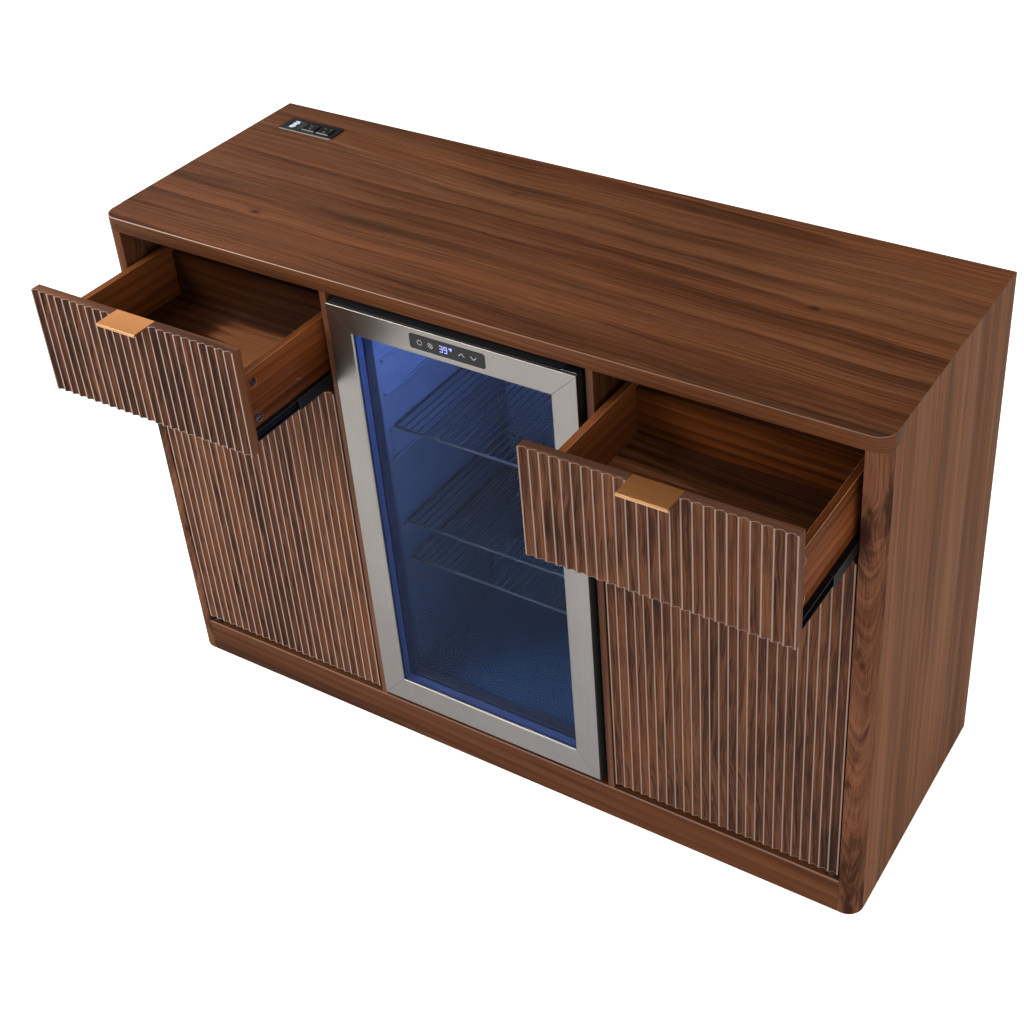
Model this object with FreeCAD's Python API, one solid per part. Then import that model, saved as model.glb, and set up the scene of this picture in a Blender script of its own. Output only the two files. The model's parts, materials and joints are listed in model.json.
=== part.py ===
import FreeCAD, Part
import math
import os

from FreeCAD import Vector

# Overall size of the cabinet, in millimetres
# X runs to the viewer's right, Y to the back and Z up, from the centre of the footprint on the floor
cabinet_width = 1400.0
cabinet_depth = 490.0
cabinet_height = 955.0

# Worktop, sides and corner posts
top_thickness = 25.0
side_thickness = 18.0
post_width = 35.0
post_depth = 50.0
corner_radius = 28.0
edge_round = 1.5

# Inner panels
divider_thickness = 12.0
divider_recess = 2.0
fridge_bay_width = 470.0
bottom_thickness = 18.0
back_thickness = 9.0
bay_floor_thickness = 12.0
bay_floor_drop = 1.0
shelf_thickness = 15.0
shelf_lift = 323.0
shelf_front_gap = 2.0
shelf_back_gap = 6.0
shelf_side_gap = 1.0
shelf_pin_radius = 2.5
shelf_pin_reach = 9.0
shelf_pin_depth = 7.0
shelf_pin_inset = 40.0

# Base
base_height = 72.0
rail_thickness = 18.0
cross_rail_spread = 450.0
stretcher_height = 80.0

# Fluted fronts
panel_recess = 2.0
panel_thickness = 18.0
flute_pitch = 16.5
flute_land = 2.4
flute_depth = 3.8
drawer_side_gap = 1.5
drawer_top_gap = 4.0
drawer_front_height = 189.0
door_inner_gap = 4.0
door_outer_gap = 3.0
door_bottom_gap = 11.0
door_top_gap = 5.0

# Drawer boxes
drawer_open = 200.0
drawer_box_length = 272.0
drawer_board = 12.0
drawer_side_height = 119.0
drawer_side_lift = 15.0
drawer_back_drop = 11.0
drawer_floor_thickness = 5.0
drawer_floor_lift = 20.0
drawer_groove = 6.0
cam_radius = 7.5
cam_depth = 10.0
cam_recess = 1.0
cam_inset = 23.0
cam_floor_gap = 0.5
cam_top_inset = 22.0
cam_slot_width = 2.0
cam_slot_depth = 2.5
fit_gap = 0.2

# Drawer slides
slide_width = 12.7
slide_height = 24.0
slide_length = 250.0
slide_sheet = 1.2
slide_gap = 0.3
slide_lift = 11.0
slide_cabinet_short = 4.5
slide_middle_short = 2.5
slide_front_gap = 1.0
spacer_length = 262.0
spacer_overlap = 10.0

# Brass pulls
pull_width = 78.0
pull_depth = 46.0
pull_thickness = 2.5
pull_lip = 5.0

# Door pivots
pivot_inset = 13.0
pivot_wall = 1.2
pin_radius = 3.0
pin_clearance = 0.05
pin_length = 20.0
pin_end_gap = 2.0
pivot_plate_width = 18.0
pivot_plate_front = 6.0
pivot_plate_length = 41.0
pivot_top_plate = 2.4
pivot_bottom_plate = 3.0
pivot_boss_radius = 7.0
running_gap = 0.3

# Push latches
latch_width = 16.0
latch_height = 20.0
latch_length = 60.0
latch_from_edge = 24.0
latch_set_back = 4.0
plunger_radius = 4.0
plunger_clearance = 0.1
plunger_length = 34.0
plunger_stroke = 3.0
plunger_end_gap = 5.7

# Power outlet let into the worktop
outlet_from_side = 110.0
outlet_from_back = 73.0
outlet_end_rim = 7.0
outlet_side_rim = 5.0
outlet_plate = 2.0
outlet_corner = 4.0
outlet_body_height = 58.0
outlet_cut_gap = 1.0
outlet_wall = 3.0
receptacle_length = 28.0
receptacle_depth = 26.0
receptacle_height = 16.0
receptacle_proud = 2.0
receptacle_gap = 4.0
receptacle_end_gap = 2.0
receptacle_side_gap = 1.0
receptacle_corner = 3.0
receptacle_round = 0.8
blade_spread = 6.5
blade_width = 2.0
blade_length = 7.0
blade_depth = 9.0
ground_radius = 2.4
ground_offset = 7.0
usb_length = 22.0
usb_gap = 14.0
usb_height = 12.0
usb_port_width = 12.5
usb_port_height = 4.8
usb_port_depth = 9.0
usb_port_spread = 11.0

# Fridge case
fridge_side_gap = 8.0
fridge_rear_gap = 28.0
case_setback = 48.0
bay_top_gap = 11.0
foot_height = 14.0
case_sheet = 1.0
liner_sheet = 2.0
side_wall = 34.0
floor_wall = 27.0
ceiling_wall = 24.0
back_wall = 40.0
step_wall = 22.0
foot_radius = 16.0
foot_disc = 6.0
foot_stud_radius = 5.0
foot_inset_x = 37.0
foot_inset_y = 32.0

# Wire shelves and their ledges, as shares of the height inside the liner
rack_shares = (0.693, 0.437, 0.335)
ledge_shares = (0.61, 0.776, 0.859)
ledge_reach = 6.0
ledge_height = 6.0
ledge_end_gap = 12.0
rack_front_gap = 17.0
rack_back_gap = 3.0
rack_side_gap = 3.0
rack_rod_radius = 2.5
rack_wire_radius = 1.3
rack_wire_pitch = 14.0
rack_weld = 0.6
rack_seat_gap = 0.1

# Cooling unit
cover_half_width = 150.0
cover_depth = 25.0
cover_drop = 35.0
cover_height = 300.0
cover_sheet = 3.0
fan_drop = 60.0
fan_hole_radius = 44.0
fan_tip_radius = 40.0
fan_hub_radius = 12.0
fan_hub_length = 5.0
fan_blade_sheet = 1.2
fan_blade_chord = 16.0
fan_blade_tilt = 14.0
fan_blade_count = 5
fan_shaft_radius = 1.5
fan_motor_radius = 16.0
fan_motor_length = 14.0
fan_shaft_end = 1.0
vent_width = 6.0
vent_length = 90.0
vent_pitch = 14.0
vent_count = 6
vent_low = 30.0
coil_half_width = 120.0
coil_lift = 25.0
coil_height = 145.0
coil_sheet = 2.0
coil_tube_radius = 4.0
coil_run_pitch = 28.0
lamp_length = 200.0
lamp_width = 14.0
lamp_height = 8.0
lamp_inset = 34.0

# Compressor
mount_radius = 8.0
mount_height = 8.0
mount_spread = 50.0
compressor_radius = 44.0
compressor_height = 100.0
compressor_round = 26.0
compressor_gap = 8.5
compressor_top_gap = 41.0
compressor_plate = 2.0
compressor_plate_rim = 2.0
grille_slot_height = 5.0
grille_slot_pitch = 12.0
grille_slot_half_length = 80.0
grille_slot_centre = 92.0
grille_slot_count = 8
grille_first_slot = 34.0
gland_radius = 9.0
gland_tip_radius = 6.0
gland_length = 16.0
gland_from_side = 20.0
gland_lift = 74.0

# Fridge door
fridge_door_lift = 6.0
fridge_door_proud = 10.0
fridge_door_thickness = 45.0
door_frame_sheet = 5.0
door_frame_width = 46.0
door_frame_bottom = 50.0
door_frame_bevel = 2.0
door_edge_round = 1.2
glass_overlap = 10.0
glass_sheet = 4.0
glass_gap = 14.0
spacer_ring_width = 8.0
gasket_inset = 15.0
gasket_width = 15.0
gasket_gap = 0.4
hinge_inset_x = 13.0
hinge_inset_y = 12.0
hinge_plate = 3.0
hinge_plate_width = 27.0
hinge_plate_front = 9.0
hinge_plate_back = 30.0
hinge_leg_height = 9.0
hinge_pin_length = 15.0
panel_width = 138.0
panel_height = 27.0
panel_corner = 5.0
panel_top_gap = 8.6
panel_proud = 0.3

# One overrun serves every cut
overrun = 5.0

# Planes worked out from the sizes above
half_width = cabinet_width / 2
front_y = -cabinet_depth / 2
back_y = cabinet_depth / 2
under_top_z = cabinet_height - top_thickness
side_inner_x = half_width - side_thickness
post_inner_x = half_width - post_width
post_back_y = front_y + post_depth
bay_half = fridge_bay_width / 2
divider_outer_x = bay_half + divider_thickness
back_panel_y = back_y - back_thickness
rail_back_y = front_y + rail_thickness
rear_rail_y = back_panel_y - rail_thickness
base_top_z = base_height - bottom_thickness
panel_front_y = front_y + panel_recess
panel_back_y = panel_front_y + panel_thickness
drawer_top_z = under_top_z - drawer_top_gap
drawer_low_z = drawer_top_z - drawer_front_height
door_panel_top_z = drawer_low_z - door_top_gap
door_panel_low_z = base_height + door_bottom_gap
bay_floor_z = drawer_low_z - bay_floor_drop
door_inner_x = divider_outer_x + door_inner_gap
door_outer_x = post_inner_x - door_outer_gap
pivot_x = door_outer_x - pivot_inset
pivot_y = panel_front_y + flute_depth + pivot_wall + pin_radius
box_inner_x = divider_outer_x + slide_width
box_outer_x = post_inner_x - slide_width
box_low_z = drawer_low_z + drawer_side_lift
box_top_z = box_low_z + drawer_side_height
box_back_y = panel_back_y + drawer_box_length
slide_centre_z = box_low_z + slide_lift
cam_low_z = box_low_z + drawer_floor_lift + drawer_floor_thickness + cam_floor_gap + cam_radius
cam_high_z = box_top_z - cam_top_inset
shelf_top_z = base_height + shelf_lift
outlet_body_length = usb_length + usb_gap + receptacle_length * 2 + receptacle_gap + receptacle_end_gap
outlet_body_length += outlet_wall * 2
outlet_body_depth = receptacle_depth + receptacle_side_gap * 2 + outlet_wall * 2
outlet_length = outlet_body_length + outlet_end_rim * 2
outlet_depth = outlet_body_depth + outlet_side_rim * 2
outlet_x = outlet_from_side - half_width
outlet_y = back_y - outlet_from_back
fridge_half = bay_half - fridge_side_gap
fridge_front_y = front_y + case_setback
fridge_back_y = rear_rail_y - fridge_rear_gap
fridge_low_z = base_height + foot_height
fridge_top_z = under_top_z - bay_top_gap
liner_half_width = fridge_half - side_wall
liner_outer_x = liner_half_width + liner_sheet
liner_floor_z = fridge_low_z + floor_wall
liner_ceiling_z = fridge_top_z - ceiling_wall
liner_height = liner_ceiling_z - liner_floor_z
liner_back_y = fridge_back_y - back_wall
liner_back_outer_y = liner_back_y + liner_sheet
compressor_front_y = fridge_back_y - case_sheet - compressor_gap * 2 - compressor_radius * 2
compressor_top_z = fridge_low_z + case_sheet + mount_height + compressor_height + compressor_top_gap
step_front_y = compressor_front_y - step_wall - liner_sheet
step_top_z = compressor_top_z + step_wall + liner_sheet
rack_half = liner_half_width - rack_side_gap
rack_front_y = fridge_front_y + rack_front_gap
cover_front_y = liner_back_y - cover_depth
rack_back_y = cover_front_y - rack_back_gap
cover_high_z = liner_ceiling_z - cover_drop
cover_low_z = cover_high_z - cover_height
fan_z = cover_high_z - fan_drop
coil_low_z = cover_low_z + coil_lift
coil_high_z = coil_low_z + coil_height
gland_x = fridge_half - gland_from_side
gland_z = fridge_low_z + gland_lift
door_front_y = front_y - fridge_door_proud
door_back_y = door_front_y + fridge_door_thickness
door_low_z = fridge_low_z + fridge_door_lift
fridge_door_top_z = fridge_top_z - running_gap
core_front_y = door_front_y + door_frame_sheet
glass_back_y = core_front_y + glass_sheet + glass_gap + glass_sheet
hinge_x = fridge_half - hinge_inset_x
hinge_y = door_front_y + hinge_inset_y
opening_half = fridge_half - door_frame_width
opening_low_z = door_low_z + door_frame_bottom
opening_top_z = fridge_door_top_z - door_frame_width


def box(x, y, z):
    """A box between two values on each axis."""
    corner = Vector(x[0], y[0], z[0])
    return Part.makeBox(x[1] - x[0], y[1] - y[0], z[1] - z[0], corner)


def rod(start, end, radius):
    """A round rod from one point to another."""
    way = end - start
    return Part.makeCylinder(radius, way.Length, start, way)


def prism(points, push):
    """A flat outline of corner points, pushed along a vector."""
    return Part.Face(Part.makePolygon(points + points[:1])).extrude(push)


def mirrored(shape):
    """The same shape on the other side of the cabinet."""
    return shape.mirror(Vector(0, 0, 0), Vector(1, 0, 0))


def sided(shape, side):
    """A shape that was drawn on the right, placed on the named side."""
    return shape if side == "right" else mirrored(shape)


def opened(shape):
    """A piece of a closed drawer, moved out to where the drawer rests."""
    return shape.translated(Vector(0, -drawer_open, 0))


def arc(centre, radius, start, end):
    """An arc in the XY plane between two angles in degrees."""
    angles = [math.radians(a) for a in (start, (start + end) / 2, end)]
    spots = [centre + Vector(radius * math.cos(a), radius * math.sin(a), 0) for a in angles]
    return Part.Arc(*spots).toShape()


def line(start, end):
    return Part.LineSegment(start, end).toShape()


def rounded_plate(x, y, z, radius):
    """A plate with four round corners in plan."""
    plate = box(x, y, z)
    upright = [e for e in plate.Edges if e.BoundBox.ZLength > (z[1] - z[0]) / 2]
    return plate.makeFillet(radius, upright)


def rounded_front(x, z, y, radius):
    """A plate facing the front, with four round corners seen from there."""
    plate = box(x, y, z)
    along = [e for e in plate.Edges if e.BoundBox.YLength > (y[1] - y[0]) / 2]
    return plate.makeFillet(radius, along)


def near(value, target):
    return abs(value - target) < edge_round / 100


def top_panel():
    """Worktop with round front corners, mitred to the side panels behind the posts."""
    low = under_top_z
    left_centre = Vector(corner_radius - half_width, front_y + corner_radius, low)
    right_centre = Vector(half_width - corner_radius, front_y + corner_radius, low)
    outline = [
        line(Vector(-half_width, back_y, low), Vector(-half_width, left_centre.y, low)),
        arc(left_centre, corner_radius, 180, 270),
        line(Vector(left_centre.x, front_y, low), Vector(right_centre.x, front_y, low)),
        arc(right_centre, corner_radius, 270, 360),
        line(Vector(half_width, right_centre.y, low), Vector(half_width, back_y, low)),
        line(Vector(half_width, back_y, low), Vector(-half_width, back_y, low)),
    ]
    panel = Part.Face(Part.Wire(outline)).extrude(Vector(0, 0, top_thickness))
    panel = panel.makeFillet(edge_round, worktop_open_edges(panel))
    for side in ("left", "right"):
        panel = panel.cut(sided(mitre_wedge(), side))
    return panel.cut(outlet_cutout())


def mitre_wedge():
    """What the right side panel takes out of the end of the worktop."""
    mitre_z = cabinet_height - side_thickness
    corners = [
        Vector(half_width + overrun, post_back_y, cabinet_height + overrun),
        Vector(side_inner_x, post_back_y, mitre_z),
        Vector(side_inner_x, post_back_y, under_top_z - overrun),
        Vector(half_width + overrun, post_back_y, under_top_z - overrun),
    ]
    return prism(corners, Vector(0, cabinet_depth - post_depth + overrun, 0))


def worktop_open_edges(panel):
    """The upper edge all round but for the back."""
    upper = [e for e in panel.Edges if near(e.BoundBox.ZMin, cabinet_height)]
    return [e for e in upper if e.BoundBox.YMin < back_y - edge_round]


def outlet_cutout():
    half_length = outlet_body_length / 2 + outlet_cut_gap
    half_depth = outlet_body_depth / 2 + outlet_cut_gap
    x = (outlet_x - half_length, outlet_x + half_length)
    y = (outlet_y - half_depth, outlet_y + half_depth)
    return box(x, y, (under_top_z - overrun, cabinet_height + overrun))


def side_panel():
    """Right side panel, full height, mitred at its top edge."""
    corners = [
        Vector(half_width, post_back_y, 0),
        Vector(half_width, post_back_y, cabinet_height),
        Vector(side_inner_x, post_back_y, cabinet_height - side_thickness),
        Vector(side_inner_x, post_back_y, 0),
    ]
    panel = prism(corners, Vector(0, cabinet_depth - post_depth, 0))
    return panel.cut(shelf_pin_holes())


def corner_post():
    """Right front post with a round outer corner."""
    centre = Vector(half_width - corner_radius, front_y + corner_radius, 0)
    outline = [
        line(Vector(post_inner_x, front_y, 0), Vector(centre.x, front_y, 0)),
        arc(centre, corner_radius, 270, 360),
        line(Vector(half_width, centre.y, 0), Vector(half_width, post_back_y, 0)),
        line(Vector(half_width, post_back_y, 0), Vector(post_inner_x, post_back_y, 0)),
        line(Vector(post_inner_x, post_back_y, 0), Vector(post_inner_x, front_y, 0)),
    ]
    return Part.Face(Part.Wire(outline)).extrude(Vector(0, 0, under_top_z))


def divider():
    """Upright panel between the right bay and the fridge."""
    x = (bay_half, divider_outer_x)
    y = (front_y + divider_recess, back_panel_y)
    return box(x, y, (base_height, under_top_z)).cut(shelf_pin_holes())


def shelf_pin_spots():
    """Where the right bay's shelf pins leave the panels: a point and the way in."""
    low_z = shelf_top_z - shelf_thickness - shelf_pin_radius
    rows = (post_back_y + shelf_pin_inset, back_panel_y - shelf_pin_inset)
    spots = [(Vector(side_inner_x, y, low_z), Vector(1, 0, 0)) for y in rows]
    spots += [(Vector(divider_outer_x, y, low_z), Vector(-1, 0, 0)) for y in rows]
    return spots


def shelf_pin_holes():
    radius = shelf_pin_radius + pin_clearance
    return Part.makeCompound([rod(p, p + way * shelf_pin_depth, radius) for p, way in shelf_pin_spots()])


def shelf_pins():
    pins = []
    for spot, way in shelf_pin_spots():
        pins.append(rod(spot - way * shelf_pin_reach, spot + way * shelf_pin_depth, shelf_pin_radius))
    return pins


def adjustable_shelf():
    x = (divider_outer_x + shelf_side_gap, side_inner_x - shelf_side_gap)
    y = (post_back_y + shelf_front_gap, back_panel_y - shelf_back_gap)
    return box(x, y, (shelf_top_z - shelf_thickness, shelf_top_z))


def bay_floor():
    """Dust board under the right drawer, notched round the post."""
    x = (divider_outer_x, side_inner_x)
    y = (panel_back_y + running_gap, back_panel_y)
    return box(x, y, (bay_floor_z, bay_floor_z + bay_floor_thickness)).cut(post_notch())


def post_notch():
    x = (post_inner_x, half_width + overrun)
    return box(x, (front_y - overrun, post_back_y), (-overrun, under_top_z))


def bottom_panel():
    """Floor of all three bays, notched round both posts."""
    board = box((-side_inner_x, side_inner_x), (rail_back_y, back_panel_y), (base_top_z, base_height))
    return board.cut(post_notch()).cut(mirrored(post_notch()))


def base_front_rail():
    rail = box((-post_inner_x, post_inner_x), (front_y, rail_back_y), (0, base_height))
    upper = [e for e in rail.Edges if near(e.BoundBox.ZMin, base_height) and near(e.BoundBox.YMax, front_y)]
    return rail.makeFillet(edge_round, upper)


def base_rails():
    """Rear rail and three cross rails under the bottom panel."""
    rails = [box((-side_inner_x, side_inner_x), (rear_rail_y, back_panel_y), (0, base_top_z))]
    for centre in (-cross_rail_spread, 0, cross_rail_spread):
        x = (centre - rail_thickness / 2, centre + rail_thickness / 2)
        rails.append(box(x, (rail_back_y, rear_rail_y), (0, base_top_z)))
    return rails


def back_panel():
    """Back of the right bay; the fridge bay stays open behind."""
    x = (bay_half + divider_thickness / 2, side_inner_x)
    return box(x, (back_panel_y, back_y), (0, under_top_z))


def rear_stretcher():
    z = (under_top_z - stretcher_height, under_top_z)
    return box((-bay_half, bay_half), (rear_rail_y, back_panel_y), z)


def runner_spacer():
    """Packs the slide out from the side panel to the post's inner face."""
    half_height = slide_height / 2 + spacer_overlap
    z = (slide_centre_z - half_height, slide_centre_z + half_height)
    z = (max(z[0], bay_floor_z + bay_floor_thickness), z[1])
    return box((post_inner_x, side_inner_x), (post_back_y, post_back_y + spacer_length), z)


def fluted_panel(x, z):
    """A front panel whose face is cut into upright coves between narrow lands."""
    count = max(1, round((x[1] - x[0] - flute_land) / flute_pitch))
    pitch = (x[1] - x[0] - flute_land) / count
    edges = [line(Vector(x[0], panel_back_y, z[0]), Vector(x[0], panel_front_y, z[0]))]
    for number in range(count):
        start = x[0] + number * pitch
        cove = (start + flute_land, start + pitch)
        low = Vector(cove[0], panel_front_y, z[0])
        deep = Vector((cove[0] + cove[1]) / 2, panel_front_y + flute_depth, z[0])
        high = Vector(cove[1], panel_front_y, z[0])
        edges.append(line(Vector(start, panel_front_y, z[0]), low))
        edges.append(Part.Arc(low, deep, high).toShape())
    last = Vector(x[1], panel_front_y, z[0])
    edges.append(line(Vector(x[1] - flute_land, panel_front_y, z[0]), last))
    edges.append(line(last, Vector(x[1], panel_back_y, z[0])))
    edges.append(line(Vector(x[1], panel_back_y, z[0]), Vector(x[0], panel_back_y, z[0])))
    return Part.Face(Part.Wire(edges)).extrude(Vector(0, 0, z[1] - z[0]))


def drawer_centre_x():
    return (divider_outer_x + post_inner_x) / 2


def drawer_front():
    """Right drawer's front, with the pull's seat in its top edge and a groove for the floor."""
    x = (divider_outer_x + drawer_side_gap, post_inner_x - drawer_side_gap)
    panel = fluted_panel(x, (drawer_low_z, drawer_top_z))
    seat_x = (drawer_centre_x() - pull_width / 2, drawer_centre_x() + pull_width / 2)
    through = (panel_front_y - overrun, panel_back_y + overrun)
    seat = box(seat_x, through, (drawer_top_z - pull_thickness, drawer_top_z + overrun))
    return panel.cut(seat).cut(drawer_floor())


def drawer_floor():
    """Floor board, let into the front, the sides and the back."""
    x = (box_inner_x + drawer_board - drawer_groove, box_outer_x - drawer_board + drawer_groove)
    y = (panel_back_y - drawer_groove, box_back_y - drawer_board + drawer_groove)
    low = box_low_z + drawer_floor_lift
    return box(x, y, (low, low + drawer_floor_thickness))


def cam_spots():
    """Outer mouths of the cam holes in the right drawer's two sides, and the way in."""
    y = panel_back_y + cam_inset
    spots = []
    for z in (cam_low_z, cam_high_z):
        spots.append((Vector(box_inner_x, y, z), Vector(1, 0, 0)))
        spots.append((Vector(box_outer_x, y, z), Vector(-1, 0, 0)))
    return spots


def drawer_sides():
    sides = []
    holes = Part.makeCompound([rod(p, p + way * cam_depth, cam_radius) for p, way in cam_spots()])
    for x in ((box_inner_x, box_inner_x + drawer_board), (box_outer_x - drawer_board, box_outer_x)):
        board = box(x, (panel_back_y, box_back_y), (box_low_z, box_top_z))
        sides.append(board.cut(drawer_floor()).cut(holes))
    return sides


def drawer_back():
    x = (box_inner_x + drawer_board, box_outer_x - drawer_board)
    y = (box_back_y - drawer_board, box_back_y)
    return box(x, y, (box_low_z, box_top_z - drawer_back_drop)).cut(drawer_floor())


def drawer_cam_locks():
    """Slotted cams that pull the sides up to the front."""
    cams = []
    for spot, way in cam_spots():
        mouth = spot + way * cam_recess
        cam = rod(mouth, spot + way * cam_depth, cam_radius - fit_gap)
        reach = way * cam_slot_depth
        x = sorted((mouth.x - reach.x, mouth.x + reach.x))
        z = (spot.z - cam_slot_width / 2, spot.z + cam_slot_width / 2)
        cams.append(cam.cut(box(x, (spot.y - cam_radius, spot.y + cam_radius), z)))
    return cams


def drawer_pull():
    """Flat brass tab let into the top of the front, with a short lip at its front edge."""
    x = (drawer_centre_x() - pull_width / 2, drawer_centre_x() + pull_width / 2)
    y = (panel_back_y - pull_depth, panel_back_y)
    plate = box(x, y, (drawer_top_z - pull_thickness, drawer_top_z))
    lip = box(x, (y[0], y[0] + pull_thickness), (drawer_top_z - pull_lip, drawer_top_z))
    pull = plate.fuse(lip).removeSplitter()
    bend = [e for e in pull.Edges if near(e.BoundBox.ZMin, drawer_top_z) and near(e.BoundBox.YMax, y[0])]
    return pull.makeFillet(pull_thickness / 2, bend)


def channel(height, web, flange, y, toward_drawer):
    """A slide member on the divider's side of the right bay, open one way along X."""
    z = (slide_centre_z - height / 2, slide_centre_z + height / 2)
    body = box((min(web[0], flange), max(web[1], flange)), y, z)
    hollow_z = (z[0] + slide_sheet, z[1] - slide_sheet)
    if toward_drawer:
        hollow_x = (web[1], flange + overrun)
    else:
        hollow_x = (flange - overrun, web[0])
    return body.cut(box(hollow_x, y, hollow_z))


def both_hands(member):
    """A member beside the divider and its twin beside the spacer, in the right bay."""
    centre = Vector(drawer_centre_x(), 0, 0)
    return [member, member.mirror(centre, Vector(1, 0, 0))]


def slide_step():
    return slide_sheet + slide_gap


def slide_cabinet_members():
    start = panel_back_y + slide_front_gap
    web = (divider_outer_x, divider_outer_x + slide_sheet)
    flange = box_inner_x - slide_cabinet_short
    return both_hands(channel(slide_height, web, flange, (start, start + slide_length), True))


def slide_middle_members():
    """Middle members, drawn out half as far as the drawer."""
    start = panel_back_y + slide_front_gap - drawer_open / 2
    inner = divider_outer_x + slide_step()
    web = (inner, inner + slide_sheet)
    height = slide_height - slide_step() * 2
    flange = box_inner_x - slide_middle_short
    return both_hands(channel(height, web, flange, (start, start + slide_length), True))


def slide_drawer_members():
    start = panel_back_y
    web = (box_inner_x - slide_sheet, box_inner_x)
    height = slide_height - slide_step() * 4
    flange = divider_outer_x + slide_step() * 2
    return both_hands(channel(height, web, flange, (start, start + slide_length), False))


def door_panel():
    """Right fluted door with blind pin holes in its top and bottom edges."""
    panel = fluted_panel((door_inner_x, door_outer_x), (door_panel_low_z, door_panel_top_z))
    depth = Vector(0, 0, pin_length + pin_end_gap)
    low = Vector(pivot_x, pivot_y, door_panel_low_z)
    high = Vector(pivot_x, pivot_y, door_panel_top_z)
    radius = pin_radius + pin_clearance
    return panel.cut([rod(low, low + depth, radius), rod(high, high - depth, radius)])


def pivot_plate(z):
    x = (pivot_x - pivot_plate_width / 2, pivot_x + pivot_plate_width / 2)
    y = (pivot_y - pivot_plate_front, pivot_y - pivot_plate_front + pivot_plate_length)
    return box(x, y, z)


def pivot_brackets():
    """Upper and lower pivot plates with their pins, for the right door."""
    spot = Vector(pivot_x, pivot_y, 0)
    low_top = base_height + pivot_bottom_plate
    boss_top = door_panel_low_z - running_gap
    foot = spot + Vector(0, 0, low_top)
    boss = rod(foot, spot + Vector(0, 0, boss_top), pivot_boss_radius)
    pin = rod(foot, spot + Vector(0, 0, door_panel_low_z + pin_length), pin_radius)
    lower = pivot_plate((base_height, low_top)).fuse([boss, pin])
    upper_z = bay_floor_z - pivot_top_plate
    pin_end = spot + Vector(0, 0, door_panel_top_z - pin_length)
    upper = pivot_plate((upper_z, bay_floor_z)).fuse(rod(spot + Vector(0, 0, upper_z), pin_end, pin_radius))
    return [lower.removeSplitter(), upper.removeSplitter()]


def latch_centre():
    x = door_inner_x + latch_from_edge + latch_width / 2
    return Vector(x, panel_back_y + latch_set_back, door_panel_top_z - latch_width / 2)


def latch_body():
    """Push latch under the bay floor, bored for its plunger."""
    centre = latch_centre()
    x = (centre.x - latch_width / 2, centre.x + latch_width / 2)
    y = (centre.y, centre.y + latch_length)
    body = box(x, y, (bay_floor_z - latch_height, bay_floor_z))
    bore_end = Vector(centre.x, panel_back_y + running_gap + plunger_length, centre.z)
    bore_end.y += plunger_stroke + plunger_end_gap
    return body.cut(rod(centre, bore_end, plunger_radius + plunger_clearance))


def latch_plunger():
    centre = latch_centre()
    start = Vector(centre.x, panel_back_y + running_gap, centre.z)
    return rod(start, start + Vector(0, plunger_length, 0), plunger_radius)


def outlet_bezel():
    """Plate on the worktop with windows for the receptacles and the charging ports."""
    x = (outlet_x - outlet_length / 2, outlet_x + outlet_length / 2)
    y = (outlet_y - outlet_depth / 2, outlet_y + outlet_depth / 2)
    plate = rounded_plate(x, y, (cabinet_height, cabinet_height + outlet_plate), outlet_corner)
    for centre in receptacle_centres():
        plate = plate.cut(receptacle_block(centre, fit_gap))
    return plate.cut(usb_block(fit_gap))


def receptacle_centres():
    last = outlet_x + outlet_body_length / 2 - outlet_wall - receptacle_end_gap - receptacle_length / 2
    first = last - receptacle_gap - receptacle_length
    return [Vector(first, outlet_y, 0), Vector(last, outlet_y, 0)]


def receptacle_block(centre, gap):
    half_length = receptacle_length / 2 + gap
    half_depth = receptacle_depth / 2 + gap
    x = (centre.x - half_length, centre.x + half_length)
    y = (centre.y - half_depth, centre.y + half_depth)
    top = cabinet_height + outlet_plate + receptacle_proud
    return rounded_plate(x, y, (top - receptacle_height, top), receptacle_corner + gap)


def receptacle_face(centre):
    """A receptacle with two blade slots and a round earth hole."""
    top = cabinet_height + outlet_plate + receptacle_proud
    face = receptacle_block(centre, 0)
    upper = [e for e in face.Edges if near(e.BoundBox.ZMin, top)]
    face = face.makeFillet(receptacle_round, upper)
    for offset in (-blade_spread, blade_spread):
        x = (centre.x + offset - blade_width / 2, centre.x + offset + blade_width / 2)
        y = (centre.y, centre.y + blade_length)
        face = face.cut(box(x, y, (top - blade_depth, top + overrun)))
    earth = centre + Vector(0, -ground_offset, 0)
    hole = rod(earth + Vector(0, 0, top - blade_depth), earth + Vector(0, 0, top + overrun), ground_radius)
    return face.cut(hole)


def usb_centre_x():
    return outlet_x - outlet_body_length / 2 + outlet_wall + usb_length / 2


def usb_block(gap):
    x = (usb_centre_x() - usb_length / 2 - gap, usb_centre_x() + usb_length / 2 + gap)
    y = (outlet_y - receptacle_depth / 2 - gap, outlet_y + receptacle_depth / 2 + gap)
    top = cabinet_height + outlet_plate
    return box(x, y, (top - usb_height, top))


def usb_ports():
    """Charging insert with two ports."""
    block = usb_block(0)
    top = cabinet_height + outlet_plate
    x = (usb_centre_x() - usb_port_width / 2, usb_centre_x() + usb_port_width / 2)
    for offset in (-usb_port_spread / 2, usb_port_spread / 2):
        y = (outlet_y + offset - usb_port_height / 2, outlet_y + offset + usb_port_height / 2)
        block = block.cut(box(x, y, (top - usb_port_depth, top + overrun)))
    return block


def outlet_housing():
    """Back box that hangs through the worktop under the bezel."""
    x = (outlet_x - outlet_body_length / 2, outlet_x + outlet_body_length / 2)
    y = (outlet_y - outlet_body_depth / 2, outlet_y + outlet_body_depth / 2)
    z = (cabinet_height - outlet_body_height, cabinet_height)
    body = box(x, y, z)
    inner_x = (x[0] + outlet_wall, x[1] - outlet_wall)
    inner_y = (y[0] + outlet_wall, y[1] - outlet_wall)
    return body.cut(box(inner_x, inner_y, (z[0] + outlet_wall, z[1] + overrun)))


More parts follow.
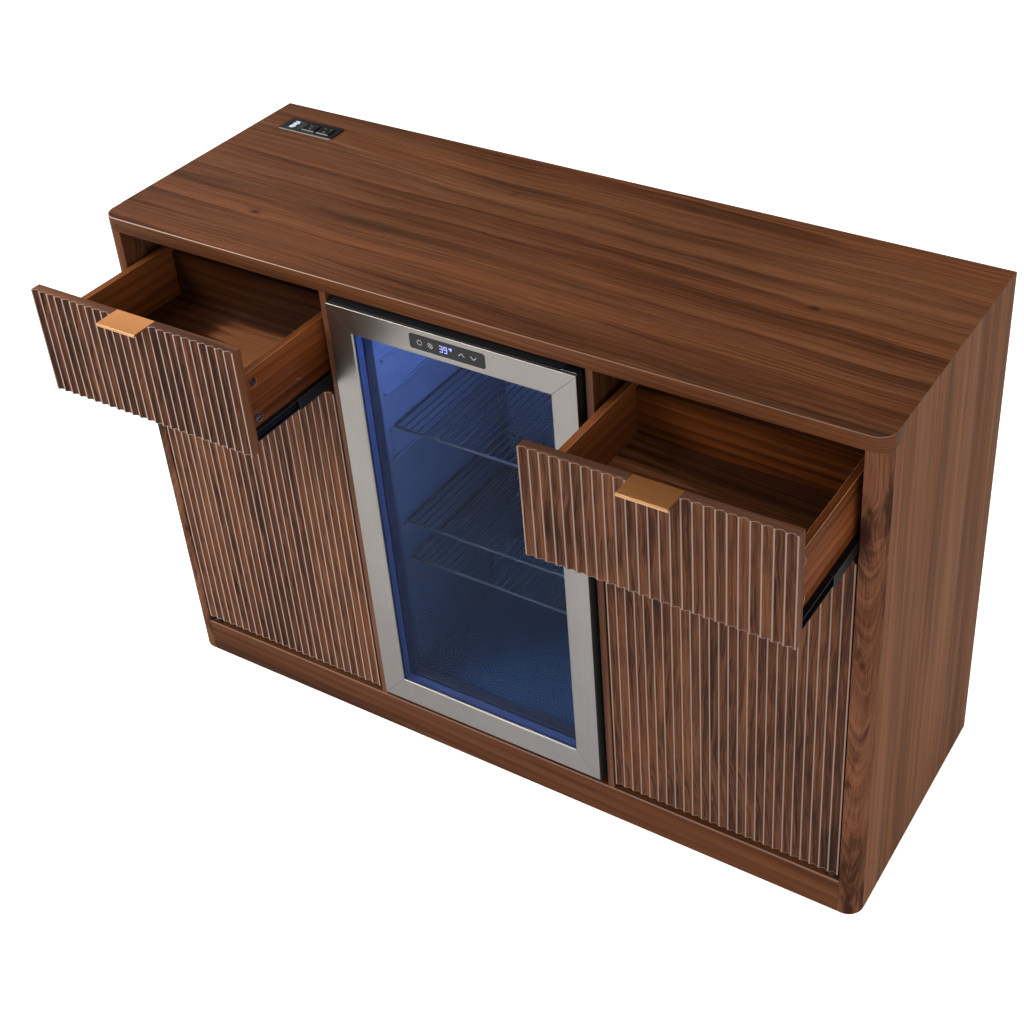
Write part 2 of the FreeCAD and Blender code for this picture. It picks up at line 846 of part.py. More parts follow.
def fridge_case():
    """Side, top, back and base sheets; the back sheet stops above the compressor bay."""
    inner = fridge_half - case_sheet
    low = fridge_low_z + case_sheet
    high = fridge_top_z - case_sheet
    y = (fridge_front_y, fridge_back_y)
    side = box((inner, fridge_half), y, (fridge_low_z, fridge_top_z))
    top = box((-inner, inner), y, (high, fridge_top_z))
    base = box((-inner, inner), y, (fridge_low_z, low))
    back = box((-inner, inner), (fridge_back_y - case_sheet, fridge_back_y), (compressor_top_z, high))
    return [side, mirrored(side), top, base, back]


def fridge_insulation():
    """Foam slabs between the case and the liner."""
    wide = fridge_half - case_sheet
    low = fridge_low_z + case_sheet
    high = fridge_top_z - case_sheet
    front = fridge_front_y + case_sheet
    back = fridge_back_y - case_sheet
    under = liner_floor_z - liner_sheet
    over = liner_ceiling_z + liner_sheet
    step_y = step_front_y + liner_sheet
    step_z = step_top_z - liner_sheet
    across = (-liner_outer_x, liner_outer_x)
    return [
        box((liner_outer_x, wide), (front, back), (low, high)),
        box((-wide, -liner_outer_x), (front, back), (low, high)),
        box(across, (front, back), (over, high)),
        box(across, (liner_back_outer_y, back), (compressor_top_z, over)),
        box(across, (front, step_y), (low, under)),
        box(across, (step_y, compressor_front_y), (low, step_z)),
        box(across, (compressor_front_y, liner_back_outer_y), (compressor_top_z, step_z)),
    ]


def liner_hollow(grow):
    """The cold space with its step over the compressor, grown by a wall."""
    half = liner_half_width + grow
    z = (liner_floor_z - grow, liner_ceiling_z + grow)
    space = box((-half, half), (fridge_front_y, liner_back_y + grow), z)
    step_y = step_front_y + grow
    step = box((-half, half), (step_y, liner_back_y + grow), (z[0], step_top_z - grow))
    return space.cut(step)


def liner_ledges():
    """Ledges on both side walls, under the racks and at the spare places."""
    y = (fridge_front_y + ledge_end_gap, cover_front_y - ledge_end_gap)
    ledges = []
    stack = rack_rod_radius * 2 + rack_wire_radius * 2 - rack_weld + rack_seat_gap
    tops = [liner_floor_z + share * liner_height - stack for share in rack_shares]
    tops += [liner_floor_z + share * liner_height for share in ledge_shares]
    for top in tops:
        z = (top - ledge_height, top)
        ledge = box((liner_half_width - ledge_reach, liner_outer_x), y, z)
        ledges += [ledge, mirrored(ledge)]
    return ledges


def fridge_liner():
    """Moulded inner liner with a front flange and ledges for the racks."""
    shell = liner_hollow(liner_sheet).cut(liner_hollow(0))
    wide = fridge_half - case_sheet
    z = (fridge_low_z + case_sheet, fridge_top_z - case_sheet)
    flange = box((-wide, wide), (fridge_front_y, fridge_front_y + case_sheet), z)
    flange = flange.cut(liner_hollow(0))
    return shell.fuse([flange] + liner_ledges()).removeSplitter()


def wire_rack(top_z):
    """A welded wire shelf: a rod frame with thinner wires from front to back."""
    rod_z = top_z - rack_wire_radius * 2 + rack_weld - rack_rod_radius
    wire_z = top_z - rack_wire_radius
    side = rack_half - rack_rod_radius
    rows = (rack_front_y + rack_rod_radius, rack_back_y - rack_rod_radius)
    corners = [Vector(-side, rows[0], rod_z), Vector(side, rows[0], rod_z)]
    corners += [Vector(side, rows[1], rod_z), Vector(-side, rows[1], rod_z)]
    rods = [rod(a, b, rack_rod_radius) for a, b in zip(corners, corners[1:] + corners[:1])]
    rods += [Part.makeSphere(rack_rod_radius, corner) for corner in corners]
    half_count = int((side - rack_wire_pitch / 2) // rack_wire_pitch)
    for number in range(-half_count, half_count + 1):
        x = number * rack_wire_pitch
        rods.append(rod(Vector(x, rows[0], wire_z), Vector(x, rows[1], wire_z), rack_wire_radius))
    return rods[0].fuse(rods[1:])


def evaporator_cover():
    """Shallow cover on the liner's back wall, with a fan hole and return slots."""
    z = (cover_low_z, cover_high_z)
    cover = box((-cover_half_width, cover_half_width), (cover_front_y, liner_back_y), z)
    inner_x = (-cover_half_width + cover_sheet, cover_half_width - cover_sheet)
    inner_z = (z[0] + cover_sheet, z[1] - cover_sheet)
    cover = cover.cut(box(inner_x, (cover_front_y + cover_sheet, liner_back_y + overrun), inner_z))
    through = (cover_front_y - overrun, cover_front_y + cover_sheet + overrun)
    cover = cover.cut(rod(Vector(0, through[0], fan_z), Vector(0, through[1], fan_z), fan_hole_radius))
    for number in range(vent_count):
        x = (number - (vent_count - 1) / 2) * vent_pitch
        slot_x = (x - vent_width / 2, x + vent_width / 2)
        cover = cover.cut(box(slot_x, through, (z[0] + vent_low, z[0] + vent_low + vent_length)))
    return cover


def evaporator_coil():
    """Cold plate on the liner's back wall, with its tube runs."""
    y = liner_back_y - coil_sheet
    plate = box((-coil_half_width, coil_half_width), (y, liner_back_y), (coil_low_z, coil_high_z))
    count = int((coil_high_z - coil_low_z) // coil_run_pitch)
    runs = []
    for number in range(count):
        z = coil_low_z + (number + 1) * (coil_high_z - coil_low_z) / (count + 1)
        reach = coil_half_width - coil_run_pitch / 2
        runs.append(rod(Vector(-reach, y, z), Vector(reach, y, z), coil_tube_radius))
    tubes = runs[0].multiFuse(runs[1:]) if len(runs) > 1 else runs[0]
    x = (-coil_half_width, coil_half_width)
    ahead = box(x, (y - coil_tube_radius, y), (coil_low_z, coil_high_z))
    return plate.fuse(tubes.common(ahead)).removeSplitter()


def fan_motor():
    """Motor on the back wall, with the shaft that carries the rotor."""
    face_y = liner_back_y - fan_motor_length
    motor = rod(Vector(0, face_y, fan_z), Vector(0, liner_back_y, fan_z), fan_motor_radius)
    end_y = face_y - running_gap - fan_hub_length - fan_shaft_end
    return motor.fuse(rod(Vector(0, end_y, fan_z), Vector(0, face_y, fan_z), fan_shaft_radius))


def fan_rotor():
    """Hub and tilted blades, turning on the motor's shaft."""
    back = liner_back_y - fan_motor_length - running_gap
    front = back - fan_hub_length
    middle = (front + back) / 2
    rotor = rod(Vector(0, front, fan_z), Vector(0, back, fan_z), fan_hub_radius)
    for number in range(fan_blade_count):
        x = (-fan_blade_chord / 2, fan_blade_chord / 2)
        y = (middle - fan_blade_sheet / 2, middle + fan_blade_sheet / 2)
        blade = box(x, y, (fan_z + fan_hub_radius / 2, fan_z + fan_tip_radius))
        blade.rotate(Vector(0, middle, fan_z), Vector(0, 0, 1), fan_blade_tilt)
        blade.rotate(Vector(0, middle, fan_z), Vector(0, 1, 0), number * 360 / fan_blade_count)
        rotor = rotor.fuse(blade)
    mouths = (Vector(0, front - overrun, fan_z), Vector(0, back + overrun, fan_z))
    return rotor.cut(rod(mouths[0], mouths[1], fan_shaft_radius + pin_clearance))


def interior_lamp():
    y = fridge_front_y + lamp_inset
    x = (-lamp_length / 2, lamp_length / 2)
    return box(x, (y, y + lamp_width), (liner_ceiling_z - lamp_height, liner_ceiling_z))


def compressor_centre():
    return Vector(0, (compressor_front_y + fridge_back_y - case_sheet) / 2, fridge_low_z + case_sheet)


def compressor_mounts():
    """Rubber feet under the compressor's base plate."""
    centre = compressor_centre()
    feet = []
    for offset in (-mount_spread, mount_spread):
        spot = centre + Vector(offset, 0, 0)
        feet.append(rod(spot, spot + Vector(0, 0, mount_height), mount_radius))
    return feet


def compressor():
    """Round pot on a base plate."""
    base = compressor_centre() + Vector(0, 0, mount_height)
    plate_half = mount_spread + mount_radius + compressor_plate_rim
    x = (base.x - plate_half, base.x + plate_half)
    y = (base.y - mount_radius * 2, base.y + mount_radius * 2)
    plate = box(x, y, (base.z, base.z + compressor_plate))
    pot = rod(base, base + Vector(0, 0, compressor_height), compressor_radius)
    upper = [e for e in pot.Edges if near(e.BoundBox.ZMin, base.z + compressor_height)]
    return pot.makeFillet(compressor_round, upper).fuse(plate)


def rear_grille():
    """Flat slotted plate across the back of the compressor bay."""
    half = fridge_half - case_sheet
    y = (fridge_back_y - case_sheet, fridge_back_y)
    plate = box((-half, half), y, (fridge_low_z + case_sheet, compressor_top_z))
    through = (fridge_back_y - overrun, fridge_back_y + overrun)
    for number in range(grille_slot_count):
        low = fridge_low_z + grille_first_slot + number * grille_slot_pitch
        for centre in (-grille_slot_centre, grille_slot_centre):
            x = (centre - grille_slot_half_length, centre + grille_slot_half_length)
            plate = plate.cut(box(x, through, (low, low + grille_slot_height)))
    return plate


def levelling_feet():
    feet = []
    for x in (-fridge_half + foot_inset_x, fridge_half - foot_inset_x):
        for y in (fridge_front_y + foot_inset_y, fridge_back_y - foot_inset_y):
            spot = Vector(x, y, base_height)
            disc = rod(spot, spot + Vector(0, 0, foot_disc), foot_radius)
            stud = rod(spot + Vector(0, 0, foot_disc), spot + Vector(0, 0, foot_height), foot_stud_radius)
            feet.append(disc.fuse(stud))
    return feet


def power_gland():
    """Tapered gland where the supply lead enters the case."""
    spot = Vector(gland_x, fridge_back_y, gland_z)
    return Part.makeCone(gland_radius, gland_tip_radius, gland_length, spot, Vector(0, 1, 0))


def frame_bar(corners):
    """A mitred bar, its outer edge rounded and its inner edge bevelled."""
    points = [Vector(x, door_front_y, z) for x, z in corners]
    bar = prism(points, Vector(0, door_frame_sheet, 0))
    bar = bar.makeFillet(door_edge_round, front_edges(bar)[-1:])
    return bar.makeChamfer(door_frame_bevel, front_edges(bar)[-2:-1])


def front_edges(shape):
    """Edges in the plane of the fridge door's face: the outer one is last, the inner one before it."""
    edges = [e for e in shape.Edges if near(e.BoundBox.YMax, door_front_y)]
    return sorted(edges, key=lambda edge: edge.Length)


def control_panel_plate(gap, y):
    top = fridge_door_top_z - panel_top_gap
    x = (-panel_width / 2 + gap, panel_width / 2 - gap)
    return rounded_front(x, (top - panel_height + gap, top - gap), y, panel_corner - gap)


def fridge_door_frame():
    """Four stainless bars, mitred at the corners and cut out for the control panel."""
    window = control_panel_plate(0, (door_front_y - overrun, core_front_y + overrun))
    outer = [(-fridge_half, door_low_z), (fridge_half, door_low_z)]
    outer += [(fridge_half, fridge_door_top_z), (-fridge_half, fridge_door_top_z)]
    inner = [(-opening_half, opening_low_z), (opening_half, opening_low_z)]
    inner += [(opening_half, opening_top_z), (-opening_half, opening_top_z)]
    bars = []
    for number in range(len(outer)):
        after = (number + 1) % len(outer)
        corners = [outer[number], outer[after], inner[after], inner[number]]
        bars.append(frame_bar(corners).cut(window))
    return bars


def fridge_door_core():
    """Black door body behind the frame, rebated for the glass and bored for the hinge pins."""
    y = (core_front_y, door_back_y)
    core = box((-fridge_half, fridge_half), y, (door_low_z, fridge_door_top_z))
    through = (y[0] - overrun, y[1] + overrun)
    core = core.cut(box((-opening_half, opening_half), through, (opening_low_z, opening_top_z)))
    core = core.cut(glass_block((core_front_y - overrun, glass_back_y), 0))
    depth = Vector(0, 0, hinge_pin_length + pin_end_gap)
    low = Vector(hinge_x, hinge_y, door_low_z)
    high = Vector(hinge_x, hinge_y, fridge_door_top_z)
    radius = pin_radius + pin_clearance
    return core.cut([rod(low, low + depth, radius), rod(high, high - depth, radius)])


def glass_block(y, gap):
    """The space of the glass unit, smaller all round by a gap."""
    half = opening_half + glass_overlap - gap
    return box((-half, half), y, (opening_low_z - glass_overlap + gap, opening_top_z + glass_overlap - gap))


def fridge_glass_panes():
    outer = glass_block((core_front_y, core_front_y + glass_sheet), fit_gap)
    return [outer, glass_block((glass_back_y - glass_sheet, glass_back_y), fit_gap)]


def fridge_glass_spacer():
    """Spacer bar between the two panes."""
    y = (core_front_y + glass_sheet, glass_back_y - glass_sheet)
    ring = glass_block(y, fit_gap)
    return ring.cut(glass_block((y[0] - overrun, y[1] + overrun), fit_gap + spacer_ring_width))


def door_gasket():
    """Soft seal behind the door, just short of the case."""
    y = (door_back_y, fridge_front_y - gasket_gap)
    half = fridge_half - gasket_inset
    z = (door_low_z + gasket_inset, fridge_door_top_z - gasket_inset)
    outer = box((-half, half), y, z)
    inner_x = (-half + gasket_width, half - gasket_width)
    inner_z = (z[0] + gasket_width, z[1] - gasket_width)
    return outer.cut(box(inner_x, (y[0] - overrun, y[1] + overrun), inner_z))


def control_panel():
    return control_panel_plate(fit_gap, (door_front_y - panel_proud, core_front_y))


def hinge_bracket_plate(z, back):
    x = (fridge_half - hinge_plate_width, fridge_half)
    return box(x, (hinge_y - hinge_plate_front, back), z)


def fridge_hinge_top():
    """Plate on the case with a pin down into the door."""
    z = (fridge_top_z, fridge_top_z + hinge_plate)
    plate = hinge_bracket_plate(z, fridge_front_y + hinge_plate_back)
    start = Vector(hinge_x, hinge_y, fridge_top_z)
    return plate.fuse(rod(start, start - Vector(0, 0, hinge_pin_length), pin_radius)).removeSplitter()


def fridge_hinge_bottom():
    """Angle under the door with a pin up into it."""
    top = door_low_z - running_gap
    plate = hinge_bracket_plate((top - hinge_plate, top), fridge_front_y)
    x = (fridge_half - hinge_plate_width, fridge_half)
    z = (top - hinge_plate, top + hinge_leg_height)
    leg = box(x, (fridge_front_y - hinge_plate, fridge_front_y), z)
    start = Vector(hinge_x, hinge_y, top)
    pin = rod(start, start + Vector(0, 0, hinge_pin_length), pin_radius)
    return plate.fuse([leg, pin]).removeSplitter()


def cabinet_nodes():
    """Single pieces, and pieces that the two ends of the cabinet have alike."""
    nodes = {
        "top_panel": [top_panel()],
        "bottom_panel": [bottom_panel()],
        "base_front_rail": [base_front_rail()],
        "inner_rails": base_rails() + [rear_stretcher()],
        "outlet_bezel": [outlet_bezel()],
        "outlet_housing": [outlet_housing()],
        "outlet_inserts": [receptacle_face(c) for c in receptacle_centres()] + [usb_ports()],
    }
    pairs = {
        "side_panels": [side_panel()],
        "corner_posts": [corner_post()],
        "dividers": [divider()],
        "back_panels": [back_panel()],
        "adjustable_shelves": [adjustable_shelf()],
        "shelf_pins": shelf_pins(),
        "drawer_bay_floors": [bay_floor()],
        "runner_spacers": [runner_spacer()],
        "slide_cabinet_members": slide_cabinet_members(),
        "pivot_brackets": pivot_brackets(),
        "push_latch_bodies": [latch_body()],
    }
    for name, shapes in pairs.items():
        nodes[name] = shapes + [mirrored(shape) for shape in shapes]
    return nodes


def drawer_nodes(side):
    """The pieces of one drawer, out where it rests."""
    pieces = {
        "front": [drawer_front()],
        "sides": drawer_sides(),
        "back": [drawer_back()],
        "floor": [drawer_floor()],
        "pull": [drawer_pull()],
        "cam_locks": drawer_cam_locks(),
        "slide_members": slide_drawer_members(),
    }
    nodes = {}
    for name, shapes in pieces.items():
        nodes["drawer_" + side + "_" + name] = [opened(sided(s, side)) for s in shapes]
    nodes["slide_middle_members_" + side] = [sided(s, side) for s in slide_middle_members()]
    return nodes


def door_nodes(side):
    return {
        "door_" + side: [sided(door_panel(), side)],
        "latch_plunger_" + side: [sided(latch_plunger(), side)],
    }


def fridge_nodes():
    racks = [wire_rack(liner_floor_z + share * liner_height) for share in rack_shares]
    return {
        "fridge_case": fridge_case(),
        "fridge_insulation": fridge_insulation(),
        "fridge_liner": [fridge_liner()],
        "wire_racks": racks,
        "evaporator_cover": [evaporator_cover()],
        "evaporator_coil": [evaporator_coil()],
        "fan_motor": [fan_motor()],
        "fan_rotor": [fan_rotor()],
        "interior_lamp": [interior_lamp()],
        "compressor": [compressor()],
        "compressor_mounts": compressor_mounts(),
        "fridge_rear_grille": [rear_grille()],
        "levelling_feet": levelling_feet(),
        "power_gland": [power_gland()],
        "fridge_hinges": [fridge_hinge_top(), fridge_hinge_bottom()],
        "fridge_door_frame": fridge_door_frame(),
        "fridge_door_core": [fridge_door_core()],
        "fridge_door_gasket": [door_gasket()],
        "fridge_glass_panes": fridge_glass_panes(),
        "fridge_glass_spacer": [fridge_glass_spacer()],
        "control_panel": [control_panel()],
    }


def all_nodes():
    nodes = cabinet_nodes()
    for side in ("left", "right"):
        nodes.update(drawer_nodes(side))
        nodes.update(door_nodes(side))
    nodes.update(fridge_nodes())
    return nodes


def main():
    os.makedirs("parts", exist_ok=True)
    for name, shapes in all_nodes().items():
        solids = [solid for shape in shapes for solid in shape.Solids]
        whole = solids[0] if len(solids) == 1 else Part.makeCompound(solids)
        whole.exportStep("parts/" + name + ".step")
        print(name, len(solids), round(whole.Volume))


main()
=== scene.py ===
import json
import math

import bmesh
import bpy
from mathutils import Matrix, Vector


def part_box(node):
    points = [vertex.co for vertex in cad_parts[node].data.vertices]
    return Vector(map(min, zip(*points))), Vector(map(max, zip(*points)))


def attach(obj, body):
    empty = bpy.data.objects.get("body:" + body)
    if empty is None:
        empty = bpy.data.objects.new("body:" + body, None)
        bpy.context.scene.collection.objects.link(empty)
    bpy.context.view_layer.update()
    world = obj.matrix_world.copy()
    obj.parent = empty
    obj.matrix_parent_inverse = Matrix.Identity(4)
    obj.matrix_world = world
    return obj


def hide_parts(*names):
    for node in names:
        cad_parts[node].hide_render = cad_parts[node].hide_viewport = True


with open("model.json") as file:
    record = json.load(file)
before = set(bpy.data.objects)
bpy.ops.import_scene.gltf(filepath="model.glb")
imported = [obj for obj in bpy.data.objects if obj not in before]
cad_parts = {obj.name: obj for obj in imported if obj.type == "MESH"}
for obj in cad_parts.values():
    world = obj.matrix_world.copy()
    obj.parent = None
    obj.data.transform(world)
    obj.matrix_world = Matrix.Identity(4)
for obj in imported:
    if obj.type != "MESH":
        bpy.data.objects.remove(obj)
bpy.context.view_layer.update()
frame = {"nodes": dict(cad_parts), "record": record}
cadNodes = frame["nodes"]
record = frame["record"]
bodyOfNode = {n: body for body, names in record["behaviour"]["bodies"].items() for n in names}
slotOfNode = {s["node"]: s["material_slot"] for s in record["subparts"]}
scene = bpy.context.scene
weldGap = 2e-6
flatAngle = math.radians(0.6)  # faces that differ by less are one face
print("frame loaded,", len(cadNodes), "nodes")


# small helpers for node trees

def addNode(tree, kind, inputs=None, **settings):
    node = tree.nodes.new(kind)
    for key, value in settings.items():
        setattr(node, key, value)
    for key, value in (inputs or {}).items():
        setInput(tree, node.inputs[key], value)
    return node


def setInput(tree, socket, value):
    if isinstance(value, bpy.types.NodeSocket):
        tree.links.new(value, socket)
    elif isinstance(value, tuple) and len(value) == 3:
        socket.default_value = (*value, 1)  # a colour
    else:
        socket.default_value = value


def calc(tree, operation, *values, clamp=False):
    inputs = dict(enumerate(values))
    return addNode(tree, "ShaderNodeMath", inputs, operation=operation, use_clamp=clamp).outputs[0]


def plus(tree, a, b):
    return calc(tree, "ADD", a, b)


def minus(tree, a, b):
    return calc(tree, "SUBTRACT", a, b)


def times(tree, product, *factors):
    for factor in factors:
        product = calc(tree, "MULTIPLY", product, factor)
    return product


def timesPlus(tree, a, b, c, clamp=False):
    return calc(tree, "MULTIPLY_ADD", a, b, c, clamp=clamp)


def swing(tree, value, share, base, centre=0.5):
    # the base, moved by the value's distance from its centre
    return timesPlus(tree, minus(tree, value, centre), share, base)


def unsigned(tree, value):
    return calc(tree, "ABSOLUTE", value)


def step(tree, value, start, end, low=0.0, high=1.0):
    inputs = {"Value": value, "From Min": start, "From Max": end, "To Min": low, "To Max": high}
    return addNode(tree, "ShaderNodeMapRange", inputs, interpolation_type="SMOOTHSTEP").outputs["Result"]


def objectPoint(tree):
    return addNode(tree, "ShaderNodeTexCoord").outputs["Object"]


def splitPoint(tree, vector):
    return addNode(tree, "ShaderNodeSeparateXYZ", {0: vector}).outputs[:3]


def joinPoint(tree, x, y, z):
    return addNode(tree, "ShaderNodeCombineXYZ", {0: x, 1: y, 2: z}).outputs[0]


def noise(tree, vector, scale, detail=2.0, roughness=0.5, distortion=0.0):
    inputs = {"Vector": vector, "Scale": scale, "Detail": detail, "Roughness": roughness, "Distortion": distortion}
    return addNode(tree, "ShaderNodeTexNoise", inputs).outputs["Fac"]


def ramp(tree, factor, stops):
    node = addNode(tree, "ShaderNodeValToRGB", {"Fac": factor})
    elements = node.color_ramp.elements
    while len(elements) < len(stops):
        elements.new(0.5)
    for element, (place, colour) in zip(elements, stops):
        element.position = place
        element.color = (*colour, 1)
    return node.outputs["Color"]


def mixColour(tree, factor, first, second, blend="MIX"):
    node = addNode(tree, "ShaderNodeMix", data_type="RGBA", blend_type=blend)
    for place, value in ((0, factor), (6, first), (7, second)):
        setInput(tree, node.inputs[place], value)
    return node.outputs[2]


def attribute(tree, name):
    return addNode(tree, "ShaderNodeAttribute", attribute_name=name).outputs["Fac"]


def facingFront(tree, start, end):
    normal = addNode(tree, "ShaderNodeNewGeometry").outputs["Normal"]
    return step(tree, splitPoint(tree, normal)[1], start, end)


def feed(tree, principled, **values):
    for key, value in values.items():
        setInput(tree, principled.inputs[key.replace("_", " ")], value)


def startMaterial(name, **shader):
    material = bpy.data.materials.new(name)
    material.use_nodes = True
    tree = material.node_tree
    principled = tree.nodes["Principled BSDF"]
    feed(tree, principled, **shader)
    return material, tree, principled


def bump(tree, principled, height, strength, distance):
    node = addNode(tree, "ShaderNodeBump", {"Height": height, "Strength": strength, "Distance": distance})
    feed(tree, principled, Normal=node.outputs[0])


# walnut: every board reads the same kind of figure along its own grain
walnutLook = {
    "dark": (0.046, 0.015, 0.006),
    "deep": (0.082, 0.028, 0.011),
    "mid": (0.124, 0.045, 0.018),
    "light": (0.178, 0.070, 0.031),
    "along": 1.0,  # how fast the figure changes along the grain
    "warp": 0.05,
    "bands": 8.0,
    "bandShare": 1.25,
    "streaks": 62.0,
    "streakShare": 0.8,
    "lines": 210.0,
    "lineShare": 0.5,
    "rings": 42.0,
    "ringShare": 0.17,
    "ringCalm": 0.8,
    "arch": 0.0,
    "archCentre": 0.0,
    "archTop": 0.0,
    "rise": 0.03,
    "blotch": 0.0,
    "fibreShare": 0.36,
    "tint": 0.2,
    "wrap": None,
    "seed": 0.0,
    "roughness": 0.5,
    "gloss": 0.2,
    "bump": 0.25,
    "knots": [],  # place along the grain, place across it, radius, darkness
    "flutes": 0.0,
    "land": None,
    "landRight": None,
    "shade": None,
    "arris": None,
    "edgeHighlightColour": (0.50, 0.37, 0.30),
}
toneStops = {"dark": 0.06, "deep": 0.34, "mid": 0.56, "light": 0.92}
tints = {"redder": (1.14, 0.97, 0.80), "greyer": (0.86, 1.02, 1.18)}
# the layers of the figure: rate along the grain, then pitch across it, detail or roughness
woodWaves = {"slow": (1.3, 3.2), "small": (5.0, 13.0)}
woodLayers = {"bands": (0.5, 3.0, 0.55), "streaks": (1.6, 4.0, 0.62), "lines": (2.6, 2.0, 0.6)}
woodStrands = {"fibre": (14.0, 620.0, 2.0), "pores": (55.0, 1300.0, 1.0)}
knotForm = {"stretch": 0.3, "halo": -0.16, "eye": -1.6, "push": 1.4, "darkness": -0.75}
corner = {"post": -0.455, "depth": 0.3, "front": 0.245, "start": 0.60, "end": 0.67}


def walnut(name, grain="x", face="z", **changes):
    look = {**walnutLook, **changes}
    material, tree, principled = startMaterial(name, Roughness=look["roughness"], Specular_IOR_Level=look["gloss"])
    axes = dict(zip("xyz", splitPoint(tree, objectPoint(tree))))
    across = [a for a in "xyz" if a not in (grain, face)][0]
    u, v, w = axes[grain], axes[across], axes[face]
    x, y, z = axes.values()
    seed, along = look["seed"], look["along"]

    def grained(lengthwise, crosswise, inward, detail, roughness=0.5, distortion=0.0):
        return noise(tree, joinPoint(tree, lengthwise, crosswise, inward), 1.0, detail, roughness, distortion)

    if look["wrap"]:
        # the veneer turns round the corner in one sheet
        sign = calc(tree, "SIGN", x)
        if look["wrap"] == "post":
            v = plus(tree, unsigned(tree, x), plus(tree, y, corner["post"]))
        else:
            turned = step(tree, unsigned(tree, x), corner["start"], corner["end"])
            u = timesPlus(tree, times(tree, plus(tree, y, corner["front"]), sign), turned, x)
        w = times(tree, sign, corner["depth"] if look["wrap"] == "post" else 0.0)

    # two slow warps bend the grain lines
    slow, small = [
        grained(times(tree, u, rate * along), timesPlus(tree, v, pitch, seed), w, 2.0)
        for rate, pitch in woodWaves.values()]
    bent = swing(tree, slow, look["warp"], v)
    bent = swing(tree, small, look["warp"] * 0.22, bent)
    dark = 0.0
    for knotU, knotV, radius, darkness in look["knots"]:
        aheadOf = minus(tree, u, knotU)
        aside = minus(tree, v, knotV)
        apart = plus(tree, times(tree, aheadOf, aheadOf, knotForm["stretch"]), times(tree, aside, aside))
        halo = calc(tree, "EXPONENT", times(tree, apart, knotForm["halo"] / radius ** 2))
        eye = calc(tree, "EXPONENT", times(tree, apart, knotForm["eye"] / radius ** 2))
        bent = timesPlus(tree, times(tree, halo, radius), knotForm["push"], bent)
        dark = timesPlus(tree, eye, darkness, dark)
    offset = minus(tree, v, look["archCentre"])
    arched = times(tree, offset, offset, look["arch"])
    climb = u
    if look["archTop"]:
        # above this height the arches fade and straight grain runs on
        top = look["archTop"]
        climb = calc(tree, "SMOOTH_MIN", u, top, 0.05)
        arched = times(tree, arched, step(tree, u, top + 0.04, top - 0.06, 0.25, 1.0))
    ringPath = timesPlus(tree, climb, look["rise"], plus(tree, arched, bent))

    def layer(key):
        rate, detail, roughness = woodLayers[key]
        drift = timesPlus(tree, u, rate * along, seed)
        return grained(drift, times(tree, ringPath, look[key]), times(tree, w, look[key]), detail, roughness)

    bands, streaks, lines = [layer(key) for key in woodLayers]
    turns = calc(tree, "FRACT", timesPlus(tree, ringPath, look["rings"], times(tree, bands, 2.6)))
    rings = times(tree, step(tree, turns, 0.15, 0.92), step(tree, turns, 1.0, 0.93))
    rings = times(tree, rings, step(tree, slow, 0.38, 0.62, look["ringCalm"], 1.2))
    fibre, pores = [
        grained(times(tree, u, rate), times(tree, bent, pitch), times(tree, w, pitch), detail)
        for rate, pitch, detail in woodStrands.values()]
    tone = swing(tree, bands, look["bandShare"], 0.5)
    tone = swing(tree, streaks, look["streakShare"], tone)
    tone = swing(tree, rings, -look["ringShare"], tone, 0.4)
    tone = swing(tree, lines, look["lineShare"], tone)
    tone = swing(tree, fibre, look["fibreShare"], tone)
    tone = timesPlus(tree, step(tree, pores, 0.62, 0.74), -0.16, tone)
    if look["knots"]:
        tone = timesPlus(tree, dark, knotForm["darkness"], tone)
    if look["blotch"]:
        cloud = grained(timesPlus(tree, u, 8.0, seed), times(tree, bent, 24.0), w, 3.0, 0.6, 0.4)
        tone = timesPlus(tree, step(tree, cloud, 0.48, 0.72), -look["blotch"], tone)
    if look["flutes"]:
        tone = swing(tree, attribute(tree, "fluteTone"), look["flutes"], tone)
    if look["shade"]:
        tone = plus(tree, tone, look["shade"](tree, x, y, z))
    colour = ramp(tree, tone, [(place, look[key]) for key, place in toneStops.items()])

    # some streaks are greyer and some redder
    drift = timesPlus(tree, u, 0.7 * along, seed + 4.0)
    hue = grained(drift, times(tree, ringPath, look["bands"] * 2.4), times(tree, w, look["bands"]), 2.0)
    redder, greyer = [mixColour(tree, look["tint"], colour, tint, "MULTIPLY") for tint in tints.values()]
    colour = mixColour(tree, step(tree, hue, 0.38, 0.62), redder, greyer)
    # the lands are paler: part wear, part painted highlight, and painted shade makes them darker towards the right
    if look["land"]:
        wornAndLit = timesPlus(tree, minus(tree, streaks, 0.5), 0.4, attribute(tree, "land"), clamp=True)
        landColour = mixColour(tree, step(tree, x, -0.5, 0.35), look["land"], look["landRight"])
        colour = mixColour(tree, times(tree, step(tree, wornAndLit, 0.3, 0.85), 0.92), colour, landColour)
    # painted highlight, with some wear, as a pale line along the rounded edges
    if look["arris"]:
        colour = mixColour(tree, look["arris"](tree, x, y, z), colour, look["edgeHighlightColour"])
    feed(tree, principled, Base_Color=colour, Roughness=swing(tree, fibre, 0.16, look["roughness"]))
    bump(tree, principled, minus(tree, fibre, times(tree, pores, 0.5)), look["bump"], 0.0004)
    return material


# plainer finishes: a base, a mottle and a fine relief

def spreadOf(colour, spread):
    return tuple(c * (1 - spread) for c in colour), tuple(min(1.0, c * (1 + spread)) for c in colour)


def twoTones(tree, value, colour, spread, start=0.3, end=0.7):
    low, high = spreadOf(colour, spread)
    return ramp(tree, value, [(start, low), (end, high)])


